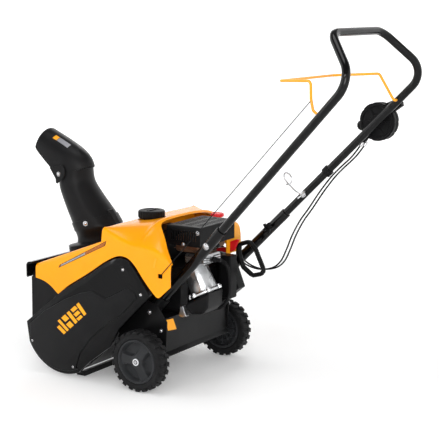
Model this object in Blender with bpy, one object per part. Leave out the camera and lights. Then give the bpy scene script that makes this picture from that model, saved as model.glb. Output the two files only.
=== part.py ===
"""Single-stage petrol snow blower, as separate solids in metres.

+X is the machine's left, +Y its rear (the handle end), +Z up. Shapes are written with Y = 0 at the wheel
axle; the last step moves everything so that the origin lies under the middle of the scraper bar.
"""

import math

import bmesh
import bpy
from mathutils import Matrix, Vector

# ---------------------------------------------------------------- driving dimensions
GAP = 0.0004                    # clearance between pieces that touch
WHEEL_R = 0.089                 # 178 mm wheels
TYRE_WIDTH = 0.045
WHEEL_OUT = 0.2425              # outer face of each wheel
AXLE_R = 0.006
RIM_R = 0.0645

AUGER_Y, AUGER_Z = -0.270, 0.155
AUGER_R = 0.124
AUGER_SHAFT_R = 0.0095
HOUSING_R = 0.137               # inner radius of the auger housing
HOUSING_HALF = 0.2215           # half the inside width
SHEET = 0.0025
PLATE = 0.003
SCRAPER_Y = -0.236

DECK_Y0, DECK_Z0 = -0.371, 0.331    # front corner of the hood's deck
DECK_SLOPE = 0.376
HOOD_HALF = 0.2355
HOOD_WALL = 0.003

VALLEY_SLOPE = math.tan(math.radians(10))   # the deck's middle, between the side ridges
CHUTE_Y, CHUTE_Z = -0.318, 0.340    # centre of the chute ring on the deck
CHUTE_TILT = math.atan(VALLEY_SLOPE)
DEFLECTOR_PIVOT = (0.0, -0.4190, 0.5740)
PIVOT_BOLT_R = 0.0030

LEG_ANGLE = math.radians(45.9)
LEG_REF = (0.1752, 0.2465, 0.4816)  # near upper end of the lower handle tube
LEG_SPLAY = 0.125               # sideways lean of the legs per metre of height
LOWER_TUBE_R = 0.0148
UPPER_TUBE_R = 0.0112
TUBE_WALL = 0.0015
SOCKET_R = 0.0190
HANDLE_BOLT_R = 0.0038
KNEE = (0.2279, 0.6561, 0.9041)
TOP = (0.1459, 0.5549, 1.0160)

BAIL_PIVOT = (0.5760, 0.8240)   # (y, z) on the leg line
BAIL_R = 0.0033
BAIL_ELBOW = (0.1980, 0.5265, 0.8960)
BAIL_TIP = (0.1450, 0.4080, 0.8900)

PULLEY_X = 0.2362
AUGER_PULLEY_R = 0.072
ENGINE_PULLEY_R = 0.027
CRANK_Y, CRANK_Z = -0.036, 0.292

CAP_X, CAP_Y, CAP_R = 0.055, -0.0757, 0.0395    # fuel cap
CLUTCH_TOP = Vector((0.1955, 0.5240, 0.8440))   # where the clutch cable hooks onto the bail
CLUTCH_SLOT = Vector((0.2390, 0.0855, 0.3480))  # where it turns in through the hood's side

CYLINDER_X, CYLINDER_Y, CASING_R = 0.0580, 0.1120, 0.0375
STOP_PIVOT = Vector((-0.0880, 0.1145, 0.3720))  # hinge of the red stop lever

# ---------------------------------------------------------------- finishes
FINISHES = {
    "yellow_paint": ((0.97, 0.40, 0.010), 0.22, 0.0),
    "gloss_black": ((0.012, 0.012, 0.013), 0.16, 0.0),
    "black_steel": ((0.016, 0.016, 0.017), 0.35, 0.3),
    "black_plastic": ((0.020, 0.020, 0.021), 0.48, 0.0),
    "grey_plastic": ((0.045, 0.046, 0.050), 0.45, 0.0),
    "rubber": ((0.018, 0.018, 0.018), 0.75, 0.0),
    "tyre": ((0.015, 0.015, 0.016), 0.65, 0.0),
    "zinc": ((0.62, 0.62, 0.63), 0.25, 1.0),
    "cast_aluminium": ((0.50, 0.51, 0.53), 0.38, 1.0),
    "steel": ((0.40, 0.40, 0.41), 0.35, 1.0),
    "red_plastic": ((0.62, 0.006, 0.010), 0.35, 0.0),
}


def clear_scene():
    for old in list(bpy.data.objects):
        bpy.data.objects.remove(old)


def material(name):
    found = bpy.data.materials.get(name)
    if found:
        return found
    colour, roughness, metallic = FINISHES[name]
    made = bpy.data.materials.new(name)
    made.use_nodes = True
    shader = made.node_tree.nodes["Principled BSDF"]
    shader.inputs["Base Color"].default_value = (*colour, 1.0)
    shader.inputs["Roughness"].default_value = roughness
    shader.inputs["Metallic"].default_value = metallic
    return made


def publish(name, bm, finish, pivot=(0, 0, 0), sharp=35):
    """Turn a bmesh, written in machine coordinates, into an object whose origin is its pivot."""
    bmesh.ops.remove_doubles(bm, verts=bm.verts, dist=1e-6)
    bmesh.ops.recalc_face_normals(bm, faces=bm.faces)
    if bm.calc_volume(signed=True) < 0:
        bmesh.ops.reverse_faces(bm, faces=bm.faces)
    bmesh.ops.translate(bm, verts=bm.verts, vec=-Vector(pivot))
    mesh = bpy.data.meshes.new(name)
    bm.to_mesh(mesh)
    bm.free()
    mesh.shade_smooth()
    mesh.set_sharp_from_angle(angle=math.radians(sharp))
    mesh.materials.append(material(finish))
    made = bpy.data.objects.new(name, mesh)
    made.location = pivot
    bpy.context.scene.collection.objects.link(made)
    return made


def combine(target, helper_bm, name, operation="DIFFERENCE"):
    """Cut a helper solid from an object, or weld it on."""
    bmesh.ops.recalc_face_normals(helper_bm, faces=helper_bm.faces)
    mesh = bpy.data.meshes.new(name)
    helper_bm.to_mesh(mesh)
    helper_bm.free()
    helper = bpy.data.objects.new(name, mesh)
    helper.hide_render = True
    helper.display_type = "WIRE"
    bpy.context.scene.collection.objects.link(helper)
    modifier = target.modifiers.new(name, "BOOLEAN")
    modifier.object = helper
    modifier.operation = operation


def cut(target, helper_bm, name):
    combine(target, helper_bm, name)


def weld(target, helper_bm, name):
    """The helper is written in machine coordinates, as the target's own shape was."""
    combine(target, helper_bm, name, "UNION")


# ---------------------------------------------------------------- shape makers
def box(low, high, bevel=0.0):
    bm = bmesh.new()
    bmesh.ops.create_cube(bm, size=1.0)
    low, high = Vector(low), Vector(high)
    size = high - low
    bmesh.ops.scale(bm, vec=size, verts=bm.verts)
    bmesh.ops.translate(bm, vec=(low + high) / 2, verts=bm.verts)
    if bevel:
        bmesh.ops.bevel(bm, geom=list(bm.edges), offset=bevel, segments=1, affect="EDGES")
    return bm


def prism(outline, x0, x1):
    """A closed (y, z) outline drawn out along X."""
    bm = bmesh.new()
    ring0 = [bm.verts.new((x0, y, z)) for y, z in outline]
    ring1 = [bm.verts.new((x1, y, z)) for y, z in outline]
    bm.faces.new(ring0)
    bm.faces.new(list(reversed(ring1)))
    for i in range(len(outline)):
        j = (i + 1) % len(outline)
        bm.faces.new((ring0[i], ring1[i], ring1[j], ring0[j]))
    bmesh.ops.recalc_face_normals(bm, faces=bm.faces)
    return bm


def axis_frame(axis):
    """Two unit vectors square to an axis."""
    axis = Vector(axis).normalized()
    helper = Vector((0, 0, 1)) if abs(axis.z) < 0.9 else Vector((0, 1, 0))
    side = axis.cross(helper).normalized()
    return axis, side, axis.cross(side).normalized()


def turned(profile, centre, axis, steps=24):
    """Revolve (radius, distance along axis) pairs round an axis. A closed profile makes a ring."""
    axis, side, up = axis_frame(axis)
    centre = Vector(centre)
    bm = bmesh.new()
    rings = []
    for radius, along in profile:
        if radius < 1e-7:
            rings.append([bm.verts.new(centre + axis * along)] * steps)
            continue
        rings.append([
            bm.verts.new(centre + axis * along
                         + (side * math.cos(a) + up * math.sin(a)) * radius)
            for a in (2 * math.pi * k / steps for k in range(steps))
        ])
    closed = profile[0][0] > 1e-7 and profile[-1][0] > 1e-7
    pairs = list(zip(rings, rings[1:]))
    if closed:
        pairs.append((rings[-1], rings[0]))
    for a, b in pairs:
        for k in range(steps):
            m = (k + 1) % steps
            corners = [a[k], a[m], b[m], b[k]]
            unique = list(dict.fromkeys(corners))
            if len(unique) > 2:
                bm.faces.new(unique)
    bmesh.ops.recalc_face_normals(bm, faces=bm.faces)
    return bm


def disc(centre, axis, radius, length, steps=24, chamfer=0.0):
    """A solid cylinder that starts at its centre point and runs along its axis."""
    c = chamfer
    if c:
        rim = [(radius - c, 0), (radius, c), (radius, length - c), (radius - c, length)]
    else:
        rim = [(radius, 0), (radius, length)]
    profile = [(0, 0), *rim, (0, length)]
    return turned(profile, centre, axis, steps)


def ring(centre, axis, inner, outer, length, steps=24):
    return turned([(inner, 0), (outer, 0), (outer, length), (inner, length)], centre, axis, steps)


def filleted(points, radius, steps=5):
    """A route through corner points, with each inner corner rounded by an arc."""
    points = [Vector(p) for p in points]
    route = [points[0]]
    for before, corner, after in zip(points, points[1:], points[2:]):
        a, b = (before - corner).normalized(), (after - corner).normalized()
        angle = a.angle(b)
        shorter = min((before - corner).length, (after - corner).length)
        reach = min(radius / math.tan(angle / 2), 0.49 * shorter)
        bend = reach * math.tan(angle / 2)
        centre = corner + (a + b).normalized() * (bend / math.sin(angle / 2))
        start, stop = corner + a * reach - centre, corner + b * reach - centre
        turn = start.angle(stop)
        for k in range(steps + 1):
            t = turn * k / steps
            route.append(centre + (start * math.sin(turn - t) + stop * math.sin(t)) / math.sin(turn))
    route.append(points[-1])
    return route


def swept(route, radius, sides=10, wall=0.0):
    """A round rod along a route, or a tube open at both ends when it has a wall."""
    route = [Vector(p) for p in route]
    bm = bmesh.new()
    tangents = []
    for i in range(len(route)):
        before, after = route[max(i - 1, 0)], route[min(i + 1, len(route) - 1)]
        tangents.append((after - before).normalized())
    _, side, _ = axis_frame(tangents[0])
    outer_rings, inner_rings = [], []
    for point, tangent in zip(route, tangents):
        side = (side - tangent * side.dot(tangent)).normalized()
        up = tangent.cross(side)
        angles = [2 * math.pi * k / sides for k in range(sides)]
        spokes = [side * math.cos(a) + up * math.sin(a) for a in angles]
        outer_rings.append([bm.verts.new(point + s * radius) for s in spokes])
        if wall:
            inner_rings.append([bm.verts.new(point + s * (radius - wall)) for s in spokes])

    def skin(rings):
        for a, b in zip(rings, rings[1:]):
            for k in range(sides):
                m = (k + 1) % sides
                bm.faces.new((a[k], a[m], b[m], b[k]))

    skin(outer_rings)
    if wall:
        skin(inner_rings)
        for outer, inner in ((outer_rings[0], inner_rings[0]), (outer_rings[-1], inner_rings[-1])):
            for k in range(sides):
                m = (k + 1) % sides
                bm.faces.new((outer[k], outer[m], inner[m], inner[k]))
    else:
        bm.faces.new(outer_rings[0])
        bm.faces.new(list(reversed(outer_rings[-1])))
    bmesh.ops.recalc_face_normals(bm, faces=bm.faces)
    return bm


def smooth_route(points, steps=4):
    """A Catmull-Rom curve through the points."""
    points = [Vector(p) for p in points]
    padded = [2 * points[0] - points[1], *points, 2 * points[-1] - points[-2]]
    route = []
    for p0, p1, p2, p3 in zip(padded, padded[1:], padded[2:], padded[3:]):
        for k in range(steps):
            t = k / steps
            route.append(0.5 * (2 * p1 + (p2 - p0) * t + (2 * p0 - 5 * p1 + 4 * p2 - p3) * t * t
                                + (3 * p1 - p0 - 3 * p2 + p3) * t ** 3))
    route.append(points[-1])
    return route


def arc(centre, radius, start, stop, steps):
    """(y, z) points on an arc; angles in degrees from +Y towards +Z."""
    return [
        (centre[0] + radius * math.cos(math.radians(start + (stop - start) * k / steps)),
         centre[1] + radius * math.sin(math.radians(start + (stop - start) * k / steps)))
        for k in range(steps + 1)
    ]


def loft_shell(sections, wall, closed_section, leave_out=lambda row, column: False):
    """A wall that follows rows of points, thickened inwards; each row is one cross-section."""
    bm = bmesh.new()
    rows = [[bm.verts.new(p) for p in row] for row in sections]
    count = len(rows[0])
    for i, (a, b) in enumerate(zip(rows, rows[1:])):
        for k in range(count if closed_section else count - 1):
            if leave_out(i, k):
                continue
            m = (k + 1) % count
            bm.faces.new((a[k], a[m], b[m], b[k]))
    loose = [v for v in bm.verts if not v.link_faces]
    bmesh.ops.delete(bm, geom=loose, context="VERTS")
    bm.normal_update()
    mesh = bpy.data.meshes.new("shell")
    bm.to_mesh(mesh)
    bm.free()
    helper = bpy.data.objects.new("shell", mesh)
    bpy.context.scene.collection.objects.link(helper)
    thick = helper.modifiers.new("wall", "SOLIDIFY")
    thick.thickness = wall
    thick.offset = -1.0
    thick.use_even_offset = True
    bpy.context.view_layer.update()
    evaluated = helper.evaluated_get(bpy.context.evaluated_depsgraph_get())
    result = bmesh.new()
    result.from_mesh(evaluated.to_mesh())
    evaluated.to_mesh_clear()
    bpy.data.objects.remove(helper)
    return result


def publish_pair(name, make, finish, pivot=(0, 0, 0)):
    """A left-hand piece from its maker, and its mirror image on the right."""
    publish(name + "_left", make(), finish, pivot)
    other = make()
    bmesh.ops.scale(other, vec=(-1, 1, 1), verts=other.verts)
    publish(name + "_right", other, finish, (-pivot[0], pivot[1], pivot[2]))


# ---------------------------------------------------------------- auger housing and auger
def ridge_z(y):
    """Height of the ridge along each side of the deck."""
    return DECK_Z0 + (y - DECK_Y0) * DECK_SLOPE


def valley_z(y):
    """Height of the middle of the deck."""
    return CHUTE_Z + (y - CHUTE_Y) * VALLEY_SLOPE


def chute_point(out, up=0.0, side=0.0):
    """A point given in the chute's own frame: forwards across the ring, along its axis, and to the left."""
    c, s = math.cos(CHUTE_TILT), math.sin(CHUTE_TILT)
    return Vector((side, CHUTE_Y - c * out - s * up, CHUTE_Z - s * out + c * up))


CHUTE_AXIS = (0.0, -math.sin(CHUTE_TILT), math.cos(CHUTE_TILT))


def housing_outline():
    """Outer profile of the scoop: up the back round the auger, then forward under the deck."""
    centre = (AUGER_Y, AUGER_Z)
    outer = HOUSING_R + SHEET
    drop = 0.018
    back = arc(centre, outer, -80, 38, 12)
    roof = [(-0.178, 0.285), (-0.182, valley_z(-0.182) - drop), (-0.385, valley_z(-0.385) - drop),
            (-0.3935, 0.2950)]
    return back + roof


def make_auger_housing():
    outline = housing_outline()
    sections = [[(x, y, z) for y, z in outline] for x in (-HOUSING_HALF, HOUSING_HALF)]
    bm = loft_shell(sections, SHEET, closed_section=False)
    housing = publish("auger_housing", bm, "black_steel")
    cut(housing, disc(chute_point(0, -0.060), CHUTE_AXIS, 0.0575, 0.12, 28), "throat_cutter")
    return housing


def side_plate_outline():
    centre = (AUGER_Y, AUGER_Z)
    front = [(-0.3920, 0.2880), (-0.3965, 0.2865), (-0.3990, 0.120)]
    low = arc(centre, 0.1415, 205, 285, 7)
    rear = [(-0.170, 0.058), (-0.1010, 0.112), (-0.0700, 0.172), (0.0330, 0.276), (0.0360, 0.300),
            (0.0150, 0.335), (-0.0400, 0.366), (-0.0900, 0.366), (-0.1850, 0.366)]
    top = [(-0.2200, ridge_z(-0.2200) - 0.020), (-0.3700, ridge_z(-0.3700) - 0.016), (-0.3920, 0.300)]
    return front + low + rear + top


def make_side_plate(name, sign):
    x0 = sign * (HOUSING_HALF + GAP)
    x1 = sign * (HOUSING_HALF + GAP + PLATE)
    plate = publish(name, prism(side_plate_outline(), min(x0, x1), max(x0, x1)), "black_steel")
    low = min(x0, x1) - 0.01
    cut(plate, disc((low, AUGER_Y, AUGER_Z), (1, 0, 0), 0.0185, 0.03, 20), name + "_bearing_hole")
    if sign > 0:
        cut(plate, disc((low, CRANK_Y, CRANK_Z), (1, 0, 0), 0.0180, 0.03, 20), name + "_crank_hole")
    return plate


def make_scraper_bar():
    outline = [(SCRAPER_Y - 0.016, 0.0), (SCRAPER_Y + 0.016, 0.0), (SCRAPER_Y + 0.016, 0.0150),
               (SCRAPER_Y + 0.004, 0.0150), (SCRAPER_Y - 0.016, 0.0050)]
    return publish("scraper_bar", prism(outline, -0.2000, 0.2000), "zinc")


def make_front_lip():
    """Trim channel along the front edge of the hood."""
    outline = [(-0.3985, 0.2885), (-0.3985, 0.3270), (-0.3930, 0.3345), (-0.3745, 0.3375),
               (-0.3745, 0.3335), (-0.3900, 0.3300), (-0.3945, 0.3245), (-0.3945, 0.2885)]
    return publish("front_lip", prism(outline, -0.2450, 0.2450), "gloss_black")


def make_auger():
    """Auger shaft with the drum that the paddles bolt to; its left end carries the pulley."""
    profile = [(0, -0.2240), (AUGER_SHAFT_R, -0.2240), (AUGER_SHAFT_R, -0.2120), (0.0190, -0.2120),
               (0.0190, 0.2120), (AUGER_SHAFT_R, 0.2120), (AUGER_SHAFT_R, 0.2430), (0, 0.2430)]
    shaft = turned(profile, (0, AUGER_Y, AUGER_Z), (1, 0, 0), 16)
    return publish("auger_shaft", shaft, "steel", pivot=(0, AUGER_Y, AUGER_Z))


def paddle_route(turn):
    """Side view of one rubber paddle: out from the shaft, curling towards its tip."""
    rows = []
    for k in range(7):
        t = k / 6
        radius = 0.0215 + (AUGER_R - 0.0215) * t
        angle = turn + 0.55 * t * t
        rows.append((radius, angle))
    return rows


def make_auger_paddles():
    """Two curved rubber paddles that also curl inwards across the width, so snow moves to the middle."""
    for name, turn in (("auger_paddle_a", math.radians(95)), ("auger_paddle_b", math.radians(275))):
        sections = []
        for j in range(9):
            x = -0.2080 + 0.4160 * j / 8
            lean = 0.45 * math.cos(math.pi * x / 0.4160)
            row = []
            for radius, angle in paddle_route(turn):
                a = angle - lean * (radius - 0.0215) / (AUGER_R - 0.0215)
                row.append((x, AUGER_Y + radius * math.cos(a), AUGER_Z + radius * math.sin(a)))
            sections.append(row)
        paddle = loft_shell(sections, 0.006, closed_section=False)
        publish(name, paddle, "rubber", pivot=(0, AUGER_Y, AUGER_Z))


def make_auger_bearings():
    def bearing():
        inner = HOUSING_HALF - 0.0055
        outer = HOUSING_HALF + GAP + PLATE + 0.0015
        return ring((inner, AUGER_Y, AUGER_Z), (1, 0, 0), 0.0100, 0.0180, outer - inner, 20)
    publish_pair("auger_bearing", bearing, "steel")


def pulley_profile(outer, bore, width, groove):
    half = width / 2
    return [(bore, -half), (outer, -half), (outer - groove, -half * 0.35), (outer - groove, half * 0.35),
            (outer, half), (bore, half)]


def make_pulleys():
    auger = turned(pulley_profile(AUGER_PULLEY_R, 0.0100, 0.0100, 0.0045),
                   (PULLEY_X, AUGER_Y, AUGER_Z), (1, 0, 0), 32)
    publish("auger_pulley", auger, "steel", pivot=(PULLEY_X, AUGER_Y, AUGER_Z))
    engine = turned(pulley_profile(ENGINE_PULLEY_R, 0.0100, 0.0100, 0.0045),
                    (PULLEY_X, CRANK_Y, CRANK_Z), (1, 0, 0), 24)
    publish("engine_pulley", engine, "steel", pivot=(PULLEY_X, CRANK_Y, CRANK_Z))
    shaft = turned([(0, 0.1080), (0.0096, 0.1080), (0.0096, 0.2430), (0, 0.2430)],
                   (0, CRANK_Y, CRANK_Z), (1, 0, 0), 16)
    publish("crankshaft", shaft, "steel", pivot=(0, CRANK_Y, CRANK_Z))


def belt_loop(grow):
    """Outline of the belt round both pulleys, offset from their groove bottoms."""
    small = Vector((CRANK_Y, CRANK_Z))
    large = Vector((AUGER_Y, AUGER_Z))
    r_small, r_large = ENGINE_PULLEY_R - 0.0045 + grow, AUGER_PULLEY_R - 0.0045 + grow
    line = small - large
    heading = math.atan2(line.y, line.x)
    lean = math.acos((r_large - r_small) / line.length)
    points = []
    for k in range(15):
        a = heading + lean + (2 * math.pi - 2 * lean) * k / 14
        points.append((large.x + r_large * math.cos(a), large.y + r_large * math.sin(a)))
    for k in range(9):
        a = heading - lean + 2 * lean * k / 8
        points.append((small.x + r_small * math.cos(a), small.y + r_small * math.sin(a)))
    return points


def make_drive_belt():
    inner, outer = belt_loop(0.0012), belt_loop(0.0042)
    half = 0.0016
    bm = bmesh.new()
    loops = []
    for outline, x in ((inner, -half), (outer, -half), (outer, half), (inner, half)):
        loops.append([bm.verts.new((PULLEY_X + x, y, z)) for y, z in outline])
    count = len(inner)
    for a, b in zip(loops, loops[1:] + loops[:1]):
        for k in range(count):
            m = (k + 1) % count
            bm.faces.new((a[k], a[m], b[m], b[k]))
    return publish("drive_belt", bm, "rubber")


IDLER_PIVOT = (PULLEY_X - 0.0060, -0.1250, 0.1450)
IDLER_CENTRE = (PULLEY_X, -0.0991, 0.1823)


def make_idler():
    """Tension arm and its roller under the belt's lower run; the bail swings the roller up to the belt."""
    x = IDLER_PIVOT[0] - 0.0014
    start, stop = Vector((x, IDLER_PIVOT[1], IDLER_PIVOT[2])), Vector((x, IDLER_CENTRE[1], IDLER_CENTRE[2]))
    along = (stop - start).normalized()
    across = Vector((0, -along.z, along.y)) * 0.0070
    outline = [start - along * 0.007 + across, start - along * 0.007 - across,
               stop + along * 0.006 - across, stop + along * 0.006 + across]
    publish("idler_arm", prism([(p.y, p.z) for p in outline], x, x + 0.0028), "zinc", pivot=IDLER_PIVOT)
    roller = turned([(0, -0.0030), (0.0120, -0.0030), (0.0120, 0.0030), (0, 0.0030)],
                    IDLER_CENTRE, (1, 0, 0), 18)
    publish("idler_roller", roller, "steel", pivot=IDLER_CENTRE)
    hooked = start.lerp(stop, 0.6) - across.normalized() * 0.0110 + Vector((0.0014, 0, 0))
    anchor = Vector((x + 0.0014, -0.0850, 0.1450))
    coils = 4
    spring_route = []
    for k in range(8 * coils + 1):
        a = 2 * math.pi * k / 8
        line = anchor.lerp(hooked, k / (8 * coils))
        rise = 0.0022 * math.sin(a)
        spring_route.append(line + Vector((0.0014 * math.cos(a), rise, rise)))
    publish("idler_spring", swept(spring_route, 0.0005, 5), "zinc")


# ---------------------------------------------------------------- covers and hood
def cover_outline(grow=0.0):
    """Outline of the left belt cover, from its front tip over the arch and back along the bottom."""
    centre = (AUGER_Y, AUGER_Z)
    g = grow
    top = [(-0.4085 - g, 0.1500 + g), (-0.2660, 0.2640 + g), (-0.1690, 0.3200 + g), (-0.1100, 0.3600 + g),
           (-0.0760, 0.3780 + g), (-0.0500, 0.3850 + g), (-0.0260, 0.3790 + g), (-0.0050, 0.3590 + g),
           (0.0240, 0.3220 + g), (0.0480 + g, 0.2900 + g)]
    rear = [(0.0430 + g, 0.2790), (-0.0600 + g, 0.1770), (-0.0920 + g, 0.1200), (-0.1150, 0.1020 - g),
            (-0.1690, 0.0620 - g)]
    low = arc(centre, 0.1450 + g, 293, 207, 8)
    return top + rear + low


def make_belt_cover():
    """Hollow cover: a flat outer face with a bevelled rim, standing off the side plate."""
    inner_x = HOUSING_HALF + GAP + PLATE + GAP
    rim_x, face_x = 0.2400, 0.2480
    outline = cover_outline()
    middle = Vector((-0.18, 0.21))
    inset = []
    for y, z in outline:
        v = middle - Vector((y, z))
        inset.append(Vector((y, z)) + v * min(0.022 / v.length, 0.3))
    bm = bmesh.new()
    wall = 0.0022

    def row(points, x, shrink):
        made = []
        for p in points:
            p = Vector(p)
            v = middle - p
            q = p + v.normalized() * shrink
            made.append(bm.verts.new((x, q.x, q.y)))
        return made

    rows = [row(outline, inner_x, 0.0), row(outline, rim_x, 0.0), row(inset, face_x, 0.0),
            row(inset, face_x - wall, 0.0), row(outline, rim_x - wall * 0.6, wall),
            row(outline, inner_x, wall)]
    count = len(outline)
    for a, b in ((0, 1), (1, 2), (3, 4), (4, 5), (5, 0)):
        for k in range(count):
            m = (k + 1) % count
            bm.faces.new((rows[a][k], rows[a][m], rows[b][m], rows[b][k]))
    bm.faces.new(rows[2])
    bm.faces.new(list(reversed(rows[3])))
    return publish("belt_cover", bm, "black_plastic")


def hood_side_z(y):
    """Lower edge of the hood's side skin at a given Y."""
    points = [(-0.371, 0.3300), (-0.352, 0.3060), (-0.325, 0.2700), (-0.280, 0.2560), (-0.169, 0.3260),
              (-0.110, 0.3660), (-0.076, 0.3840), (-0.050, 0.3910), (-0.022, 0.3840), (0.000, 0.3620),
              (0.030, 0.3230), (0.056, 0.2900), (0.078, 0.2850), (0.118, 0.3200)]
    for (y0, z0), (y1, z1) in zip(points, points[1:]):
        if y <= y1:
            t = max(0.0, (y - y0) / (y1 - y0))
            return z0 + (z1 - z0) * t
    return points[-1][1]


def whole_section(half_row):
    left = [Vector(p) for p in half_row]
    right = [Vector((-p.x, p.y, p.z)) for p in reversed(left[1:])]
    return right + left


def deck_section(y):
    """Half cross-section of the front deck: a flat middle, a ridge, and the side down to its lower edge."""
    low, high = valley_z(y), ridge_z(y)
    return [(0.0, y, low), (0.1000, y, low), (0.1750, y, low), (0.2020, y, high - 0.003), (0.2260, y, high),
            (HOOD_HALF, y, high - 0.010), (HOOD_HALF, y, min(hood_side_z(y), high - 0.022))]


def tank_section(y, top_z, shoulder_x, shoulder_z):
    """Half cross-section behind the step, from the centre line out over the shoulder and down the side."""
    return [(0.0, y, top_z), (shoulder_x * 0.6, y, top_z), (shoulder_x, y, top_z - 0.004),
            ((shoulder_x + HOOD_HALF) / 2, y, (top_z + shoulder_z) / 2),
            (HOOD_HALF - 0.006, y, shoulder_z + 0.006),
            (HOOD_HALF, y, shoulder_z - 0.010), (HOOD_HALF, y, hood_side_z(y))]


def make_hood():
    """Yellow hood: a sloping front deck, a raised tank cover behind a step, and a cheek left of the engine."""
    sections = [deck_section(y) for y in (-0.3705, -0.352, -0.325, -0.280, -0.225, -0.169, -0.118)]
    for station in ((-0.114, 0.454, 0.150, 0.424), (-0.076, 0.464, 0.146, 0.424),
                    (-0.050, 0.470, 0.144, 0.423), (-0.022, 0.476, 0.142, 0.421),
                    (0.008, 0.482, 0.140, 0.419), (0.035, 0.466, 0.158, 0.417),
                    (0.060, 0.447, 0.180, 0.412), (0.085, 0.420, 0.203, 0.400),
                    (0.1165, 0.384, 0.222, 0.372)):
        sections.append(tank_section(*station))
    rows = [whole_section(section) for section in sections]
    engine_bay = range(len(rows) - 5, len(rows))
    open_columns = range(0, 8)
    bm = loft_shell(rows, HOOD_WALL, closed_section=False,
                    leave_out=lambda row, column: row in engine_bay and column in open_columns)
    hood = publish("hood", bm, "yellow_paint")
    cut(hood, disc(chute_point(0, -0.05), CHUTE_AXIS, 0.0670, 0.10, 28), "hood_chute_hole")
    cut(hood, disc((CAP_X, CAP_Y, 0.4300), (0, 0, 1), CAP_R + 0.0020, 0.0800, 24), "hood_cap_hole")
    slot_low = CLUTCH_SLOT - Vector((0.0150, 0.0110, 0.0080))
    slot_high = CLUTCH_SLOT + Vector((0.0100, 0.0050, 0.0050))
    cut(hood, box(slot_low, slot_high), "hood_cable_slot")
    return hood


def make_control_panel():
    """Yellow rear panel on the right-hand side, over the recoil starter."""
    rows = []
    for y, z in ((0.0120, 0.4540), (0.0900, 0.4500), (0.1080, 0.4380), (0.1100, 0.3600)):
        rows.append([(-0.1430, y, z - 0.012), (-0.1370, y, z), (-0.0700, y, z), (-0.0640, y, z - 0.012)])
    return publish("control_panel", loft_shell(rows, 0.0028, closed_section=False), "yellow_paint")


# ---------------------------------------------------------------- chute
def chute_ring_points(radius_x, radius_f, out, up, count=20):
    """Points of an ellipse across the chute, given its half width, half depth, offset and height."""
    points = []
    for k in range(count):
        a = 2 * math.pi * k / count
        points.append(chute_point(out + radius_f * math.cos(a), up, radius_x * math.sin(a)))
    return points


def make_chute_collar():
    """Fixed spigot that the chute turns on, seated in the roof of the auger housing."""
    profile = [(0.0500, -0.0260), (0.0568, -0.0260), (0.0568, -0.0176), (0.0760, -0.0176), (0.0760, -0.0140),
               (0.0560, -0.0140), (0.0560, 0.0240), (0.0500, 0.0240)]
    return publish("chute_collar", turned(profile, chute_point(0, 0), CHUTE_AXIS, 28), "black_plastic")


def make_chute_tube():
    """Turning chute: a rope-driven ring, a neck, and a tapering tube that leans forward."""
    sections = [chute_ring_points(r_x, r_f, out, up) for r_x, r_f, out, up in (
        (0.0910, 0.0910, 0.000, 0.0080), (0.0910, 0.0910, 0.000, 0.0260), (0.0630, 0.0630, 0.000, 0.0290),
        (0.0620, 0.0620, -0.004, 0.0480), (0.0740, 0.0740, -0.013, 0.0720), (0.0720, 0.0720, -0.003, 0.1000),
        (0.0670, 0.0630, 0.021, 0.1500), (0.0605, 0.0520, 0.047, 0.2120), (0.0535, 0.0450, 0.032, 0.2520))]
    bm = loft_shell(sections, 0.0028, closed_section=True)
    tube = publish("chute_tube", bm, "black_plastic", pivot=chute_point(0, 0))
    cut(tube, deflector_bore(), "tube_pivot_holes")
    return tube


def deflector_bore():
    """Both pivot holes, as one rod across the chute."""
    y, z = DEFLECTOR_PIVOT[1:]
    return disc((-0.1000, y, z), (1, 0, 0), PIVOT_BOLT_R + GAP, 0.2000, 12)


def deflector_rows():
    """Crown and rim points of the deflector hood in side view, with half widths."""
    spine = (((-0.3410, 0.5960), (-0.4350, 0.5640), 0.0640), ((-0.3490, 0.6200), (-0.4420, 0.5780), 0.0640),
             ((-0.3730, 0.6450), (-0.4520, 0.5920), 0.0635), ((-0.4120, 0.6660), (-0.4740, 0.6100), 0.0630),
             ((-0.4560, 0.6860), (-0.4950, 0.6280), 0.0615), ((-0.5030, 0.7060), (-0.5170, 0.6470), 0.0590))
    rows = []
    for crown, rim, half in spine:
        crown, rim = Vector(crown), Vector(rim)
        row = []
        for k in range(13):
            a = math.pi * k / 12
            depth = math.sin(a) ** 0.8
            p = rim.lerp(crown, depth)
            row.append((half * math.cos(a) / max(abs(math.cos(a)), 1e-9) * abs(math.cos(a)) ** 0.75, p.x, p.y))
        rows.append(row)
    return rows


def make_deflector():
    bm = loft_shell(deflector_rows(), 0.0028, closed_section=False)
    deflector = publish("chute_deflector", bm, "black_plastic", pivot=DEFLECTOR_PIVOT)
    cut(deflector, deflector_bore(), "deflector_pivot_holes")
    return deflector


def make_deflector_bolts():
    """Shouldered pivot bolt each side, clamped in the chute tube; the deflector turns on it."""
    y, z = DEFLECTOR_PIVOT[1:]
    r = PIVOT_BOLT_R

    def bolt():
        return turned([(0, 0.0480), (r, 0.0480), (r, 0.0638), (0.0070, 0.0638), (0.0062, 0.0675), (0, 0.0682)],
                      (0, y, z), (1, 0, 0), 12)
    publish_pair("deflector_bolt", bolt, "zinc", pivot=DEFLECTOR_PIVOT)


# ---------------------------------------------------------------- engine
def make_fuel_system():
    body = box((-0.0640, -0.1000, 0.3450), (0.1300, -0.0120, 0.4380), bevel=0.012)
    tank = publish("fuel_tank", body, "black_plastic")
    weld(tank, disc((CAP_X, CAP_Y, 0.4300), (0, 0, 1), 0.0240, 0.0360, 20), "tank_neck")
    cap = turned([(0, 0.0360), (0.0265, 0.0360), (0.0370, 0.0380), (CAP_R, 0.0410), (CAP_R, 0.0560),
                  (0.0365, 0.0600), (0, 0.0600)], (CAP_X, CAP_Y, 0.4310), (0, 0, 1), 24)
    publish("fuel_cap", cap, "black_plastic", pivot=(CAP_X, CAP_Y, 0.4720))


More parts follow.
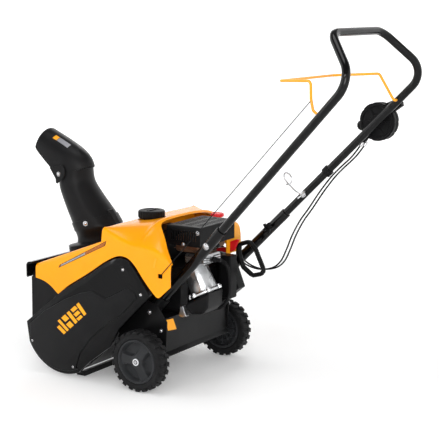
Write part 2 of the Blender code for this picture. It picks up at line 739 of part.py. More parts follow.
def make_engine():
    """Crankcase, an upright cast cylinder casing behind it, the finned head on top, the plug at the rear."""
    block = box((-0.0700, -0.1200, 0.2060), (0.1060, 0.0760, 0.3400), bevel=0.014)
    case = publish("crankcase", block, "black_steel")
    x, y = CYLINDER_X, CYLINDER_Y
    cut(case, disc((x, y, 0.1900), (0, 0, 1), CASING_R + 0.0070, 0.1700, 24), "crankcase_bay")
    casing = [(0, 0.2420), (CASING_R + 0.0060, 0.2420), (CASING_R + 0.0060, 0.2490), (CASING_R, 0.2530),
              (CASING_R, 0.3260), (CASING_R - 0.0050, 0.3450), (CASING_R - 0.0160, 0.3560), (0, 0.3580)]
    publish("cylinder", turned(casing, (x, y, 0), (0, 0, 1), 24), "cast_aluminium")
    head = box((x - 0.0430, y - 0.0420, 0.3584), (x + 0.0430, y + 0.0300, 0.3862), bevel=0.005)
    head = publish("cylinder_head", head, "cast_aluminium")
    for k in range(3):
        z = 0.3640 + 0.0070 * k
        groove = ring((x, y, z), (0, 0, 1), 0.0270, 0.0800, 0.0030, 16)
        cut(head, groove, "head_groove_%d" % (k + 1))
    plug = turned([(0, 0), (0.0085, 0), (0.0085, 0.0080), (0.0060, 0.0100), (0.0060, 0.0260), (0, 0.0260)],
                  (x, y + 0.0300 + GAP, 0.3700), (0, 1, 0), 12)
    publish("spark_plug", plug, "rubber")


def make_muffler_and_guard():
    publish("muffler", box((-0.040, 0.034, 0.3880), (0.098, 0.122, 0.4380), bevel=0.012), "steel")
    low, high = (-0.0600, 0.0240, 0.4130), (0.1210, 0.1390, 0.4700)
    guard = publish("muffler_guard", box(low, high, bevel=0.004), "black_plastic")
    wall = 0.003
    inside = box((low[0] + wall, low[1] + wall, low[2] - 0.02),
                 (high[0] - wall, high[1] - wall, high[2] - wall))
    cut(guard, inside, "guard_hollow")
    for j in range(4):
        y = 0.0400 + 0.0240 * j
        cut(guard, box((-0.0450, y, 0.4600), (0.1050, y + 0.0070, 0.4800)), "guard_slot_%d" % (j + 1))


def recoil_outline(shrink):
    """Side view of the recoil housing: round over the crankshaft, with a square rear corner under the grip."""
    big = arc((CRANK_Y, CRANK_Z), 0.0880, 80, 270, 12)
    rear = [(0.0920, 0.2140), (0.1480, 0.2600), (0.1200, 0.3300), (0.1140, 0.3480), (0.0900, 0.3560)]
    middle = Vector((0.0200, 0.2900))
    outline = []
    for y, z in big + rear:
        inward = middle - Vector((y, z))
        point = Vector((y, z)) + inward.normalized() * shrink
        outline.append((point.x, point.y))
    return outline


def make_recoil():
    """Recoil starter housing on the engine's right-hand side."""
    inner, outer = recoil_outline(0.0), recoil_outline(0.0140)
    bm = bmesh.new()
    loops = [[bm.verts.new((x, y, z)) for y, z in outline]
             for outline, x in ((inner, -0.0704), (inner, -0.1080), (outer, -0.1220))]
    count = len(inner)
    for a, b in zip(loops, loops[1:]):
        for k in range(count):
            m = (k + 1) % count
            bm.faces.new((a[k], a[m], b[m], b[k]))
    bm.faces.new(loops[0])
    bm.faces.new(list(reversed(loops[-1])))
    publish("recoil_housing", bm, "black_plastic")


def make_carburettor_box():
    body = box((-0.0640, 0.1040, 0.2360), (-0.0275, 0.1460, 0.3640), bevel=0.003)
    publish("carburettor_box", body, "black_plastic")


GRIP_AXIS = Vector((0, 0.74, 0.673)).normalized()
GRIP_ROOT = Vector((-0.1030, 0.1190, 0.3600))


def make_starter_grip():
    """D-shaped pull handle: one closed loop, flattened a little across its bar."""
    x = GRIP_ROOT.x
    corners = [(x, y, z) for y, z in ((0.1270, 0.3900), (0.1640, 0.3910), (0.1930, 0.3590), (0.2190, 0.3060),
                                      (0.1930, 0.2900), (0.1520, 0.3070), (0.1325, 0.3440))]
    start = (Vector(corners[0]) + Vector(corners[1])) / 2
    lap = filleted([start, *corners[1:], corners[0], start], 0.0140, 2)[:-1]
    bm = bmesh.new()
    rings = []
    sides, count = 8, len(lap)
    for i, point in enumerate(lap):
        tangent = (lap[(i + 1) % count] - lap[i - 1]).normalized()
        side = Vector((1, 0, 0))
        up = tangent.cross(side)
        rings.append([
            bm.verts.new(point + side * 0.0085 * math.cos(a) + up * 0.0055 * math.sin(a))
            for a in (2 * math.pi * k / sides for k in range(sides))
        ])
    for a, b in zip(rings, rings[1:] + rings[:1]):
        for k in range(sides):
            m = (k + 1) % sides
            bm.faces.new((a[k], a[m], b[m], b[k]))
    publish("starter_grip", bm, "black_plastic", pivot=GRIP_ROOT)


def make_starter_rope():
    x = GRIP_ROOT.x
    rope = swept([(x, 0.1185, 0.3440), (x, 0.1195, 0.3640), (x, 0.1210, 0.3820)], 0.0018, 8)
    publish("starter_rope", rope, "rubber")


def make_controls():
    knob = turned([(0, 0), (0.0090, 0), (0.0090, 0.0040), (0.0190, 0.0060), (0.0200, 0.0140),
                   (0.0160, 0.0180), (0, 0.0185)], (-0.1050, 0.0500, 0.4560), (0, 0, 1), 20)
    publish("choke_knob", knob, "red_plastic", pivot=(-0.1050, 0.0500, 0.4560))
    y, z = STOP_PIVOT[1:]
    root = arc((y, z), 0.0040, 80, 280, 8)
    blade = [(y + 0.0040, z - 0.0030), (y + 0.0200, 0.3985), (y + 0.0130, 0.4030), (y + 0.0030, 0.3790)]
    publish("stop_lever", prism(root + blade, -0.0930, -0.0830), "red_plastic", pivot=STOP_PIVOT)


# ---------------------------------------------------------------- chassis and wheels
PAN_Y0, PAN_Y1 = 0.0430, 0.0455


def make_chassis():
    """Folded pan behind the axle, and one side bracket each side that carries the axle and the handle."""
    half = 0.1610
    pan = prism([(-0.0900, 0.2030), (0.0455, 0.2030), (0.0455, 0.1050), (0.0560, 0.0960), (0.0560, 0.0930),
                 (0.0430, 0.0930), (0.0430, 0.2005), (-0.0900, 0.2005)], -half, half)
    publish("chassis_pan", pan, "black_steel")
    outline = [(-0.1270, 0.1300), (-0.0900, 0.1150), (-0.0200, 0.0720), (0.0200, 0.0720), (0.0500, 0.1100),
               (0.0540, 0.1950), (0.0220, 0.2420), (-0.0150, 0.2500), (-0.1100, 0.2500), (-0.1270, 0.2200)]
    for name, sign in (("bracket_left", 1), ("bracket_right", -1)):
        x0, x1 = sign * (half + GAP), sign * (half + GAP + 0.0030)
        bracket = publish(name, prism(outline, min(x0, x1), max(x0, x1)), "black_steel")
        axle_hole = disc((min(x0, x1) - 0.01, 0, WHEEL_R), (1, 0, 0), AXLE_R + GAP, 0.03, 16)
        cut(bracket, axle_hole, name + "_axle_hole")
        socket = swept([leg_point(0.2220, sign), leg_point(0.2640, sign)], SOCKET_R, 12)
        weld(bracket, socket, name + "_socket")
        bore = swept([leg_point(0.2300, sign), leg_point(0.3000, sign)], LOWER_TUBE_R + GAP, 12)
        cut(bracket, bore, name + "_socket_bore")


def make_axle():
    publish("axle", turned([(0, -0.2440), (AXLE_R, -0.2440), (AXLE_R, 0.2440), (0, 0.2440)],
                           (0, 0, WHEEL_R), (1, 0, 0), 16), "steel")


def make_wheel(side, sign):
    centre = (sign * (WHEEL_OUT - TYRE_WIDTH / 2), 0, WHEEL_R)
    half = TYRE_WIDTH / 2
    tyre = turned([(RIM_R, -half * 0.80), (0.0780, -half * 0.96), (0.0850, -half * 0.90),
                   (WHEEL_R, -half * 0.70),
                   (WHEEL_R, half * 0.70), (0.0850, half * 0.90), (0.0780, half * 0.96), (RIM_R, half * 0.80)],
                  centre, (1, 0, 0), 32)
    publish("tyre_" + side, tyre, "tyre", pivot=centre)
    rim = RIM_R - GAP
    hub = turned([(AXLE_R + GAP, -half), (0.0150, -half), (0.0170, -0.005), (0.0500, -0.005),
                  (0.0520, -half * 0.8), (rim, -half * 0.8), (rim, half * 0.8), (0.0560, half * 0.86),
                  (0.0520, 0.005), (0.0170, 0.005),
                  (0.0150, half), (AXLE_R + GAP, half)], centre, (1, 0, 0), 24)
    publish("hub_" + side, hub, "grey_plastic", pivot=centre)


# ---------------------------------------------------------------- handle and controls on it
def leg_point(z, sign=1):
    """A point on the straight leg line at a given height."""
    y = LEG_REF[1] + (z - LEG_REF[2]) / math.tan(LEG_ANGLE)
    x = LEG_REF[0] + (z - LEG_REF[2]) * LEG_SPLAY
    return Vector((sign * x, y, z))


def make_handle():
    """Lower tubes in their sockets, and the bent upper tube that slides into them and is bolted through."""
    knee, top = Vector(KNEE), Vector(TOP)

    def other(p):
        return Vector((-p.x, p.y, p.z))

    corners = [leg_point(0.4000), knee, top, other(top), other(knee), leg_point(0.4000, -1)]
    loop = swept(filleted(corners, 0.060, 5), UPPER_TUBE_R, 10, wall=TUBE_WALL)
    upper = publish("upper_handle", loop, "gloss_black")
    for side, sign in (("left", 1), ("right", -1)):
        pin_hole = disc((sign * 0.1900, *BAIL_PIVOT), (sign, 0, 0), BAIL_R + GAP, 0.0250, 12)
        cut(upper, pin_hole, "bail_hole_" + side)
        route = [leg_point(0.2340, sign), leg_point(LEG_REF[2], sign)]
        wall = LOWER_TUBE_R - UPPER_TUBE_R - 2 * GAP
        lower = publish("lower_handle_" + side, swept(route, LOWER_TUBE_R, 12, wall=wall), "black_steel")
        point, _, out = leg_frame(0.4355, sign)
        for tube in (upper, lower):
            hole = disc(point - out * 0.0300, out, HANDLE_BOLT_R + GAP, 0.0600, 12)
            cut(tube, hole, tube.name + "_hole_" + side)
        r, reach = HANDLE_BOLT_R, LOWER_TUBE_R + GAP
        knob = [(0, -reach - 0.0190), (0.0150, -reach - 0.0190), (0.0165, -reach - 0.0165),
                (0.0165, -reach - 0.0080), (0.0080, -reach - 0.0050), (0.0080, -reach)]
        dome = [(0.0082, reach), (0.0078, reach + 0.0022), (0.0042, reach + 0.0042), (0, reach + 0.0046)]
        profile = [*knob, (r, -reach), (r, reach), *dome]
        publish("handle_bolt_" + side, turned(profile, point, out, 14), "zinc")


def leg_frame(z, sign):
    """Point on a leg, the direction up the leg, and the outward direction square to it."""
    point = leg_point(z, sign)
    along = (leg_point(z + 0.1, sign) - point).normalized()
    out = Vector((sign, 0, 0))
    out = (out - along * out.dot(along)).normalized()
    return point, along, out


def bail_corners():
    tube_x = leg_point(BAIL_PIVOT[1]).x
    pin = Vector((tube_x - 0.0040, *BAIL_PIVOT))
    arm = Vector((tube_x - UPPER_TUBE_R - 0.0160, *BAIL_PIVOT))
    return pin, arm, Vector(BAIL_ELBOW), Vector(BAIL_TIP)


def make_bail():
    """Operator's presence bar: a bent wire that pivots on both legs; its left arm holds the clutch cable."""
    pin, arm, elbow, tip = bail_corners()

    def other(p):
        return Vector((-p.x, p.y, p.z))

    hook = [Vector((arm.x, y, z)) for y, z in ((0.5440, 0.8105), (0.5300, 0.8220), (0.5240, 0.8500))]
    corners = [pin, arm, *hook, elbow, tip, other(tip), other(elbow), other(arm), other(pin)]
    publish("bail", swept(filleted(corners, 0.010, 3), BAIL_R, 7), "yellow_paint", pivot=(0, *BAIL_PIVOT))


def make_clutch_cable():
    """Thin wire from the bail's left arm down to the slot in the hood's side, where it turns inwards."""
    foot = CLUTCH_SLOT + Vector((-0.0240, -0.0080, -0.0050))
    publish("clutch_cable", swept([foot, CLUTCH_SLOT, CLUTCH_TOP], 0.0011, 6), "rubber", pivot=CLUTCH_TOP)


CONTROL_CENTRE = Vector((-0.2500, 0.5060, 0.7580))


def make_chute_control():
    """Cable drum housing outside the right leg, with its crank knob, and the bolt that holds it."""
    y, z = CONTROL_CENTRE.y, CONTROL_CENTRE.z
    drum = disc((-0.2320, y, z), (-1, 0, 0), 0.0550, 0.0340, 32, chamfer=0.004)
    publish("control_housing", drum, "black_plastic")
    x = -0.2320 - 0.0340 - GAP
    arm_end = Vector((0, -0.0720, -0.0180))
    hub = disc((x, y, z), (-1, 0, 0), 0.0140, 0.0100, 16)
    along = arm_end.normalized()
    across = Vector((0, -along.z, along.y)) * 0.0080
    corners = [across * 1.4, -across * 1.4, arm_end - across, arm_end + across]
    arm = prism([(y + p.y, z + p.z) for p in corners], x - 0.0150, x - 0.0082)
    knob = turned([(0, 0), (0.0130, 0), (0.0160, 0.0060), (0.0160, 0.0200), (0.0120, 0.0240), (0, 0.0240)],
                  (x - 0.0120, y + arm_end.y, z + arm_end.z), (-1, 0, 0), 16)
    crank = publish("control_crank", arm, "black_plastic")
    weld(crank, hub, "crank_hub")
    weld(crank, knob, "crank_knob")


def make_cables():
    """Two sheathed cables from the control drum, through the clip on the leg, down into the hood."""
    for name, shift in (("chute_cable_a", -0.0045), ("chute_cable_b", 0.0045)):
        across = Vector((-0.78 * shift, shift, 0))
        points = [(-0.2330, 0.4680, 0.6960), (-0.2200, 0.4420, 0.6560), (-0.2020, 0.4120, 0.6220),
                  (-0.1915, 0.3901, 0.5953), (-0.1880, 0.3560, 0.5500), (-0.1850, 0.3230, 0.5000),
                  (-0.1820, 0.2950, 0.4600), (-0.1780, 0.2720, 0.4150), (-0.1760, 0.2540, 0.3700),
                  (-0.1800, 0.2330, 0.3330), (-0.1900, 0.2000, 0.3080), (-0.2000, 0.1500, 0.2950),
                  (-0.2080, 0.1000, 0.3000), (-0.2120, 0.0500, 0.3250)]
        publish(name, swept(smooth_route([Vector(p) + across for p in points], 2), 0.0024, 6), "rubber")


def make_cable_clip():
    point, along, _ = leg_frame(0.6120, -1)
    clip = ring(point - along * 0.009, along, UPPER_TUBE_R + GAP, UPPER_TUBE_R + 0.0042, 0.018, 16)
    publish("cable_clip", clip, "black_plastic")


def make_rope_guide():
    """Wing nut on the right leg that holds a wire pigtail for the starter rope."""
    point, _, out = leg_frame(0.5400, -1)
    start = point - out * (UPPER_TUBE_R + GAP)
    nut = turned([(0, 0), (0.0090, 0), (0.0090, 0.004), (0.0060, 0.0090), (0, 0.0095)], start, -out, 12)
    loop = ((-0.1700, 0.2890, 0.5450), (-0.1690, 0.2740, 0.5540), (-0.1690, 0.2600, 0.5660),
            (-0.1680, 0.2470, 0.5790), (-0.1680, 0.2420, 0.5930), (-0.1670, 0.2480, 0.6010),
            (-0.1660, 0.2590, 0.5990), (-0.1650, 0.2680, 0.5900), (-0.1630, 0.2700, 0.5780),
            (-0.1610, 0.2640, 0.5690), (-0.1600, 0.2540, 0.5680))
    wire = [start - out * 0.0060, *loop]
    guide = publish("rope_guide", nut, "zinc")
    weld(guide, swept(smooth_route(wire, 2), 0.0017, 6), "guide_wire")


def move_origin():
    """Put the origin under the middle of the scraper bar."""
    for item in bpy.data.objects:
        if item.parent is None:
            item.location.y -= SCRAPER_Y


def main():
    clear_scene()
    make_auger_housing()
    make_side_plate("side_plate_left", 1)
    make_side_plate("side_plate_right", -1)
    make_scraper_bar()
    make_front_lip()
    make_auger()
    make_auger_paddles()
    make_auger_bearings()
    make_pulleys()
    make_drive_belt()
    make_idler()
    make_belt_cover()
    make_hood()
    make_control_panel()
    make_chute_collar()
    make_chute_tube()
    make_deflector()
    make_deflector_bolts()
    make_fuel_system()
    make_engine()
    make_muffler_and_guard()
    make_recoil()
    make_carburettor_box()
    make_starter_grip()
    make_starter_rope()
    make_controls()
    make_chassis()
    make_axle()
    make_wheel("left", 1)
    make_wheel("right", -1)
    make_handle()
    make_bail()
    make_clutch_cable()
    make_chute_control()
    make_cables()
    make_cable_clip()
    make_rope_guide()
    move_origin()


main()
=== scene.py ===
import math

import bmesh
import bpy
from mathutils import Matrix, Vector
from mathutils.bvhtree import BVHTree


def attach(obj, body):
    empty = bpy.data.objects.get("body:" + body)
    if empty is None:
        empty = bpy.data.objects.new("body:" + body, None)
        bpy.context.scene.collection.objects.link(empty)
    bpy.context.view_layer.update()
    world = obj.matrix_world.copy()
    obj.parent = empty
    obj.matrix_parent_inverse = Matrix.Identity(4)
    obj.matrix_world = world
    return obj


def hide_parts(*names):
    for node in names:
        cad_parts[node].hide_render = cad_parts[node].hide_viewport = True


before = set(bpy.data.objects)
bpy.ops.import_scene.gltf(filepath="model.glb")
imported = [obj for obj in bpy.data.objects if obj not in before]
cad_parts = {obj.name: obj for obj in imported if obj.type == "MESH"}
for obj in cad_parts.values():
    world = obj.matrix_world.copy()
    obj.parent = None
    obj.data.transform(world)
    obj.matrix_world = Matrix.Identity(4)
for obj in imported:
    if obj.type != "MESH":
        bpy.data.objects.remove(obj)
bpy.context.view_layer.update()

# Shapes are written with Y = 0 at the wheel axle, as the CAD's own source is; this moves them to the frame.
AXLE_SHIFT = Vector((0.0, 0.236, 0.0))
GAP = 0.0004
SIDES = (("left", 1), ("right", -1))

WHEEL_R, TYRE_WIDTH, WHEEL_OUT, RIM_R = 0.089, 0.045, 0.2425, 0.0645
HOOD_HALF = 0.2355
VALLEY_SLOPE = math.tan(math.radians(10))
CHUTE_TILT = math.radians(10)
CHUTE_Y, CHUTE_Z = -0.318, 0.34
CHUTE_AXIS = Vector((0.0, -math.sin(CHUTE_TILT), math.cos(CHUTE_TILT)))
DEFLECTOR_PIVOT = Vector((0.0, -0.419, 0.574))
LEG_ANGLE = math.radians(45.9)
LEG_REF = (0.1752, 0.2465, 0.4816)
LEG_SPLAY = 0.125
KNEE, TOP = Vector((0.2279, 0.6555, 0.9039)), Vector((0.1459, 0.5548, 1.0158))
UPPER_TUBE_R, LOWER_TUBE_R, TUBE_WALL = 0.0112, 0.0148, 0.0015
BAIL_PIVOT = (0.576, 0.824)
BAIL_R = 0.0037
CAP_CENTRE = Vector((0.055, -0.0757, 0.431))
CAP_R = 0.0395
CONTROL_CENTRE = Vector((-0.25, 0.506, 0.758))
CRANK_Y, CRANK_Z = -0.036, 0.292

# ---- finishes
# slot, colour, roughness, metallic, coat, grain scale, grain depth (m), mottling, paler edges (edge wear and
# painted edge highlight)
FINISHES = {
    "hood_paint": ("hood_yellow", (0.93, 0.33, 0.0005), 0.24, 0.0, 0.12, 420, 0.00004, 0.03, 0.1),
    "panel_paint": ("hood_yellow", (0.9, 0.36, 0.006), 0.34, 0.0, 0.2, 420, 0.00004, 0.04, 0.1),
    "gloss_black": ("gloss_black", (0.0022, 0.0022, 0.0025), 0.12, 0.0, 0.1, 500, 0.00003, 0.15, 0.2),
    "tube_black": ("tube_black", (0.0022, 0.0022, 0.0025), 0.16, 0.0, 0.25, 600, 0.00005, 0.15, 0.2),
    "black_steel": ("steel_black", (0.006, 0.006, 0.0064), 0.34, 0.0, 0.05, 700, 0.00008, 0.18, 0.35),
    "black_plastic": ("plastic_black", (0.005, 0.005, 0.0054), 0.42, 0.0, 0.0, 900, 0.00012, 0.15, 0.25),
    "satin_black": ("plastic_black", (0.0085, 0.0085, 0.009), 0.36, 0.0, 0.0, 900, 0.00008, 0.12, 0.25),
    "grey_plastic": ("plastic_grey", (0.026, 0.027, 0.029), 0.42, 0.0, 0.0, 900, 0.00012, 0.12, 0.25),
    "light_plastic": ("plastic_grey", (0.72, 0.73, 0.75), 0.3, 0.0, 0.2, 700, 0.00005, 0.05, 0.1),
    "rubber": ("rubber", (0.008, 0.008, 0.0085), 0.6, 0.0, 0.0, 1100, 0.00018, 0.2, 0.2),
    "tyre": ("tyre", (0.011, 0.011, 0.0115), 0.56, 0.0, 0.0, 1100, 0.00022, 0.22, 0.3),
    "zinc": ("zinc", (0.52, 0.52, 0.53), 0.24, 1.0, 0.0, 500, 0.00004, 0.12, 0.0),
    "steel": ("steel", (0.42, 0.42, 0.43), 0.32, 1.0, 0.0, 500, 0.00006, 0.2, 0.0),
    "heat_steel": ("steel", (0.2, 0.105, 0.06), 0.42, 0.7, 0.0, 160, 0.0001, 0.6, 0.0),
    "cast_aluminium": ("cast_aluminium", (0.58, 0.59, 0.6), 0.3, 1.0, 0.0, 420, 0.00022, 0.14, 0.0),
    "bail_yellow": ("bail_yellow", (0.9, 0.36, 0.012), 0.3, 0.0, 0.3, 600, 0.00004, 0.05, 0.1),
    "red_plastic": ("red", (0.66, 0.01, 0.018), 0.32, 0.0, 0.15, 800, 0.00006, 0.08, 0.1),
    "label_orange": ("hood_yellow", (0.88, 0.36, 0.012), 0.36, 0.0, 0.0, 900, 0.00003, 0.1, 0.0),
    "label_brown": ("plastic_black", (0.06, 0.022, 0.008), 0.36, 0.0, 0.1, 900, 0.00003, 0.1, 0.0),
    "label_pale": ("plastic_grey", (0.52, 0.53, 0.5), 0.36, 0.0, 0.1, 900, 0.00003, 0.1, 0.0),
    "label_tan": ("hood_yellow", (0.62, 0.2, 0.04), 0.36, 0.0, 0.1, 900, 0.00003, 0.1, 0.0),
    "label_grey": ("plastic_grey", (0.27, 0.27, 0.29), 0.36, 0.0, 0.0, 900, 0.00003, 0.12, 0.0),
    "label_dark": ("plastic_black", (0.035, 0.033, 0.034), 0.32, 0.0, 0.1, 900, 0.00003, 0.1, 0.0),
}


# Shine of metal, of bright paint and of the blacks, as the shader's specular level.
METAL_SHINE, PAINT_SHINE, BLACK_SHINE = 0.5, 0.2, 0.1
BRIGHT = 0.3          # a finish whose red is above this counts as bright
# The Mix node's colour sockets by number, because they share their names with its plain number sockets.
MIX_COLOUR_INPUTS = (6, 7)
MIX_COLOUR_OUTPUT = 2


def node(tree, kind, **settings):
    """A shader node with its sockets and settings filled in by name."""
    made = tree.nodes.new("ShaderNode" + kind)
    for key, value in settings.items():
        if key in made.inputs:
            made.inputs[key].default_value = value
        else:
            setattr(made, key, value)
    return made


def ranged(tree, source, low, high, to_low, to_high):
    """A value remapped from one range to another."""
    made = node(tree, "MapRange")
    for key, value in (("From Min", low), ("From Max", high), ("To Min", to_low), ("To Max", to_high)):
        made.inputs[key].default_value = value
    tree.links.new(source, made.inputs["Value"])
    return made.outputs["Result"]


def blended(tree, factor, first, second):
    """Two colours, or colour outputs, mixed by a factor."""
    made = node(tree, "Mix", data_type="RGBA")
    tree.links.new(factor, made.inputs["Factor"])
    for value, socket in zip((first, second), MIX_COLOUR_INPUTS):
        if hasattr(value, "links"):
            tree.links.new(value, made.inputs[socket])
        else:
            made.inputs[socket].default_value = (*value, 1.0)
    return made.outputs[MIX_COLOUR_OUTPUT]


def finish(name):
    """Procedural material: cloudy colour, uneven gloss, a fine grain, and paler edges that are partly rubbed
    wear and partly painted edge highlight.
    """
    found = bpy.data.materials.get("look_" + name)
    if found:
        return found
    _, colour, rough, metallic, coat, grain, depth, mottle, edge_wear_and_sheen = FINISHES[name]
    made = bpy.data.materials.new("look_" + name)
    made.use_nodes = True
    tree = made.node_tree
    shader = tree.nodes["Principled BSDF"]
    shader.inputs["Metallic"].default_value = metallic
    shader.inputs["Coat Weight"].default_value = coat
    shader.inputs["Coat Roughness"].default_value = 0.08
    shine = METAL_SHINE if metallic else PAINT_SHINE if colour[0] > BRIGHT else BLACK_SHINE
    shader.inputs["Specular IOR Level"].default_value = shine
    place = node(tree, "TexCoord").outputs["Object"]
    clouds = node(tree, "TexNoise", Scale=16.0, Detail=4.0, Roughness=0.6)
    smears = node(tree, "TexNoise", Scale=55.0, Detail=5.0, Roughness=0.65)
    fine = node(tree, "TexNoise", Scale=float(grain), Detail=3.0, Roughness=0.55)
    for texture in (clouds, smears, fine):
        tree.links.new(place, texture.inputs["Vector"])
    dark = [c * (1 - mottle) for c in colour]
    pale = [min(1.0, c * (1 + mottle)) for c in colour]
    factor = ranged(tree, clouds.outputs["Fac"], 0.35, 0.65, 0.0, 1.0)
    result = blended(tree, factor, dark, pale)
    # Paler edges found by the bevel normal: partly rubbed wear, partly painted edge highlight.
    if edge_wear_and_sheen:
        rounded = node(tree, "Bevel", samples=4, Radius=0.0012)
        flat = node(tree, "NewGeometry")
        dot = node(tree, "VectorMath", operation="DOT_PRODUCT")
        tree.links.new(rounded.outputs["Normal"], dot.inputs[0])
        tree.links.new(flat.outputs["Normal"], dot.inputs[1])
        edge = ranged(tree, dot.outputs["Value"], 0.995, 0.8, 0.0, edge_wear_and_sheen)
        broken = ranged(tree, smears.outputs["Fac"], 0.42, 0.6, 0.15, 1.0)
        both = node(tree, "Math", operation="MULTIPLY")
        tree.links.new(edge, both.inputs[0])
        tree.links.new(broken, both.inputs[1])
        # The paler edge colour is partly wear and partly painted highlight.
        wear_and_sheen_colour = [min(1.0, c * 1.5 + 0.02) for c in colour]
        result = blended(tree, both.outputs[0], result, wear_and_sheen_colour)
    tree.links.new(result, shader.inputs["Base Color"])
    gloss = ranged(tree, smears.outputs["Fac"], 0.3, 0.7, rough * 0.88, rough * 1.14)
    tree.links.new(gloss, shader.inputs["Roughness"])
    bump = node(tree, "Bump", Strength=0.35, Distance=depth)
    tree.links.new(fine.outputs["Fac"], bump.inputs["Height"])
    tree.links.new(bump.outputs["Normal"], shader.inputs["Normal"])
    return made


# ---- making pieces
def evaluated_mesh(obj):
    """A new mesh of an object as its modifiers leave it."""
    bpy.context.view_layer.update()
    return bpy.data.meshes.new_from_object(obj.evaluated_get(bpy.context.evaluated_depsgraph_get()))


def raw_object(name, bm):
    """An object in the axle frame, with outward faces."""
    bmesh.ops.remove_doubles(bm, verts=bm.verts, dist=1e-6)
    bmesh.ops.recalc_face_normals(bm, faces=bm.faces)
    if bm.calc_volume(signed=True) < 0:
        bmesh.ops.reverse_faces(bm, faces=bm.faces)
    mesh = bpy.data.meshes.new(name)
    bm.to_mesh(mesh)
    bm.free()
    made = bpy.data.objects.new(name, mesh)
    bpy.context.scene.collection.objects.link(made)
    return made


def placed(obj, look, body="machine", stands_for=(), sharp=35, bevel=0.0, segments=2):
    """Finish, round off and seat a piece that was written in the axle frame."""
    obj.data.transform(Matrix.Translation(AXLE_SHIFT))
    obj.data.materials.clear()
    obj.data.materials.append(finish(look))
    obj.data.shade_smooth()
    if bevel:
        rounding = obj.modifiers.new("rounding", "BEVEL")
        rounding.width = bevel
        rounding.segments = segments
        rounding.limit_method = "ANGLE"
        rounding.angle_limit = math.radians(sharp)
        normals = obj.modifiers.new("normals", "WEIGHTED_NORMAL")
        normals.keep_sharp = False
    else:
        obj.data.set_sharp_from_angle(angle=math.radians(sharp))
    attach(obj, body)
    if stands_for:
        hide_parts(*stands_for)
    return obj


def piece(name, bm, look, **options):
    """A finished piece straight from a bmesh."""
    return placed(raw_object(name, bm), look, **options)


def cut(obj, bm):
    """Cut a helper solid out of an object at once."""
    helper = raw_object("cutter", bm)
    modifier = obj.modifiers.new("cut", "BOOLEAN")
    modifier.object = helper
    modifier.operation = "DIFFERENCE"
    mesh = evaluated_mesh(obj)
    obj.modifiers.clear()
    obj.data = mesh
    bpy.data.objects.remove(helper)


def joined(*meshes):
    """Several closed solids as one bmesh."""
    result = bmesh.new()
    for bm in meshes:
        bmesh.ops.recalc_face_normals(bm, faces=bm.faces)
        scratch = bpy.data.meshes.new("scratch")
        bm.to_mesh(scratch)
        bm.free()
        result.from_mesh(scratch)
        bpy.data.meshes.remove(scratch)
    return result


# ---- shape makers
def box(low, high):
    bm = bmesh.new()
    bmesh.ops.create_cube(bm, size=1.0)
    low, high = Vector(low), Vector(high)
    bmesh.ops.scale(bm, vec=high - low, verts=bm.verts)
    bmesh.ops.translate(bm, vec=(low + high) / 2, verts=bm.verts)
    return bm


def prism(outline, x0, x1):
    """A closed (y, z) outline drawn out along X."""
    return stacked([[(x, y, z) for y, z in outline] for x in (x0, x1)])


def stacked(loops):
    """A solid through matching closed loops of points, capped at both ends."""
    bm = bmesh.new()
    rings = [[bm.verts.new(p) for p in loop] for loop in loops]
    bridge(bm, rings, closed=True)
    bm.faces.new(rings[0])
    bm.faces.new(list(reversed(rings[-1])))
    return bm


def bridge(bm, rings, closed, skip=lambda row, column: False):
    """Faces between neighbouring rows of points."""
    count = len(rings[0])
    for i, (a, b) in enumerate(zip(rings, rings[1:])):
        for k in range(count if closed else count - 1):
            m = (k + 1) % count
            unique = list(dict.fromkeys((a[k], a[m], b[m], b[k])))
            if len(unique) > 2 and not skip(i, k):
                bm.faces.new(unique)


def axis_frame(axis):
    """An axis with two directions square to it."""
    axis = Vector(axis).normalized()
    helper = Vector((0, 0, 1)) if abs(axis.z) < 0.9 else Vector((0, 1, 0))
    side = axis.cross(helper).normalized()
    return axis, side, axis.cross(side).normalized()


def turned(profile, centre, axis, steps=48, radial=None):
    """Revolve (radius, distance along axis) pairs; radial(angle, radius, along) may change each radius."""
    axis, side, up = axis_frame(axis)
    centre = Vector(centre)
    bm = bmesh.new()
    rings = []
    for radius, along in profile:
        if radius < 1e-7:
            rings.append([bm.verts.new(centre + axis * along)] * steps)
            continue
        ring = []
        for k in range(steps):
            a = 2 * math.pi * k / steps
            r = radial(a, radius, along) if radial else radius
            ring.append(bm.verts.new(centre + axis * along + (side * math.cos(a) + up * math.sin(a)) * r))
        rings.append(ring)
    if profile[0][0] > 1e-7 and profile[-1][0] > 1e-7:
        rings.append(rings[0])
    bridge(bm, rings, closed=True)
    return bm


def filleted(points, radius, steps=10):
    """A route of straight runs with each corner bent round a radius."""
    points = [Vector(p) for p in points]
    route = [points[0]]
    for before, corner, after in zip(points, points[1:], points[2:]):
        a, b = (before - corner).normalized(), (after - corner).normalized()
        angle = a.angle(b)
        reach = min(radius / math.tan(angle / 2), 0.49 * (before - corner).length,
            0.49 * (after - corner).length)
        bend = reach * math.tan(angle / 2)
        centre = corner + (a + b).normalized() * (bend / math.sin(angle / 2))
        start, stop = corner + a * reach - centre, corner + b * reach - centre
        turn = start.angle(stop)
        for k in range(steps + 1):
            t = turn * k / steps
            route.append(centre + (start * math.sin(turn - t) + stop * math.sin(t)) / math.sin(turn))
    route.append(points[-1])
    return route


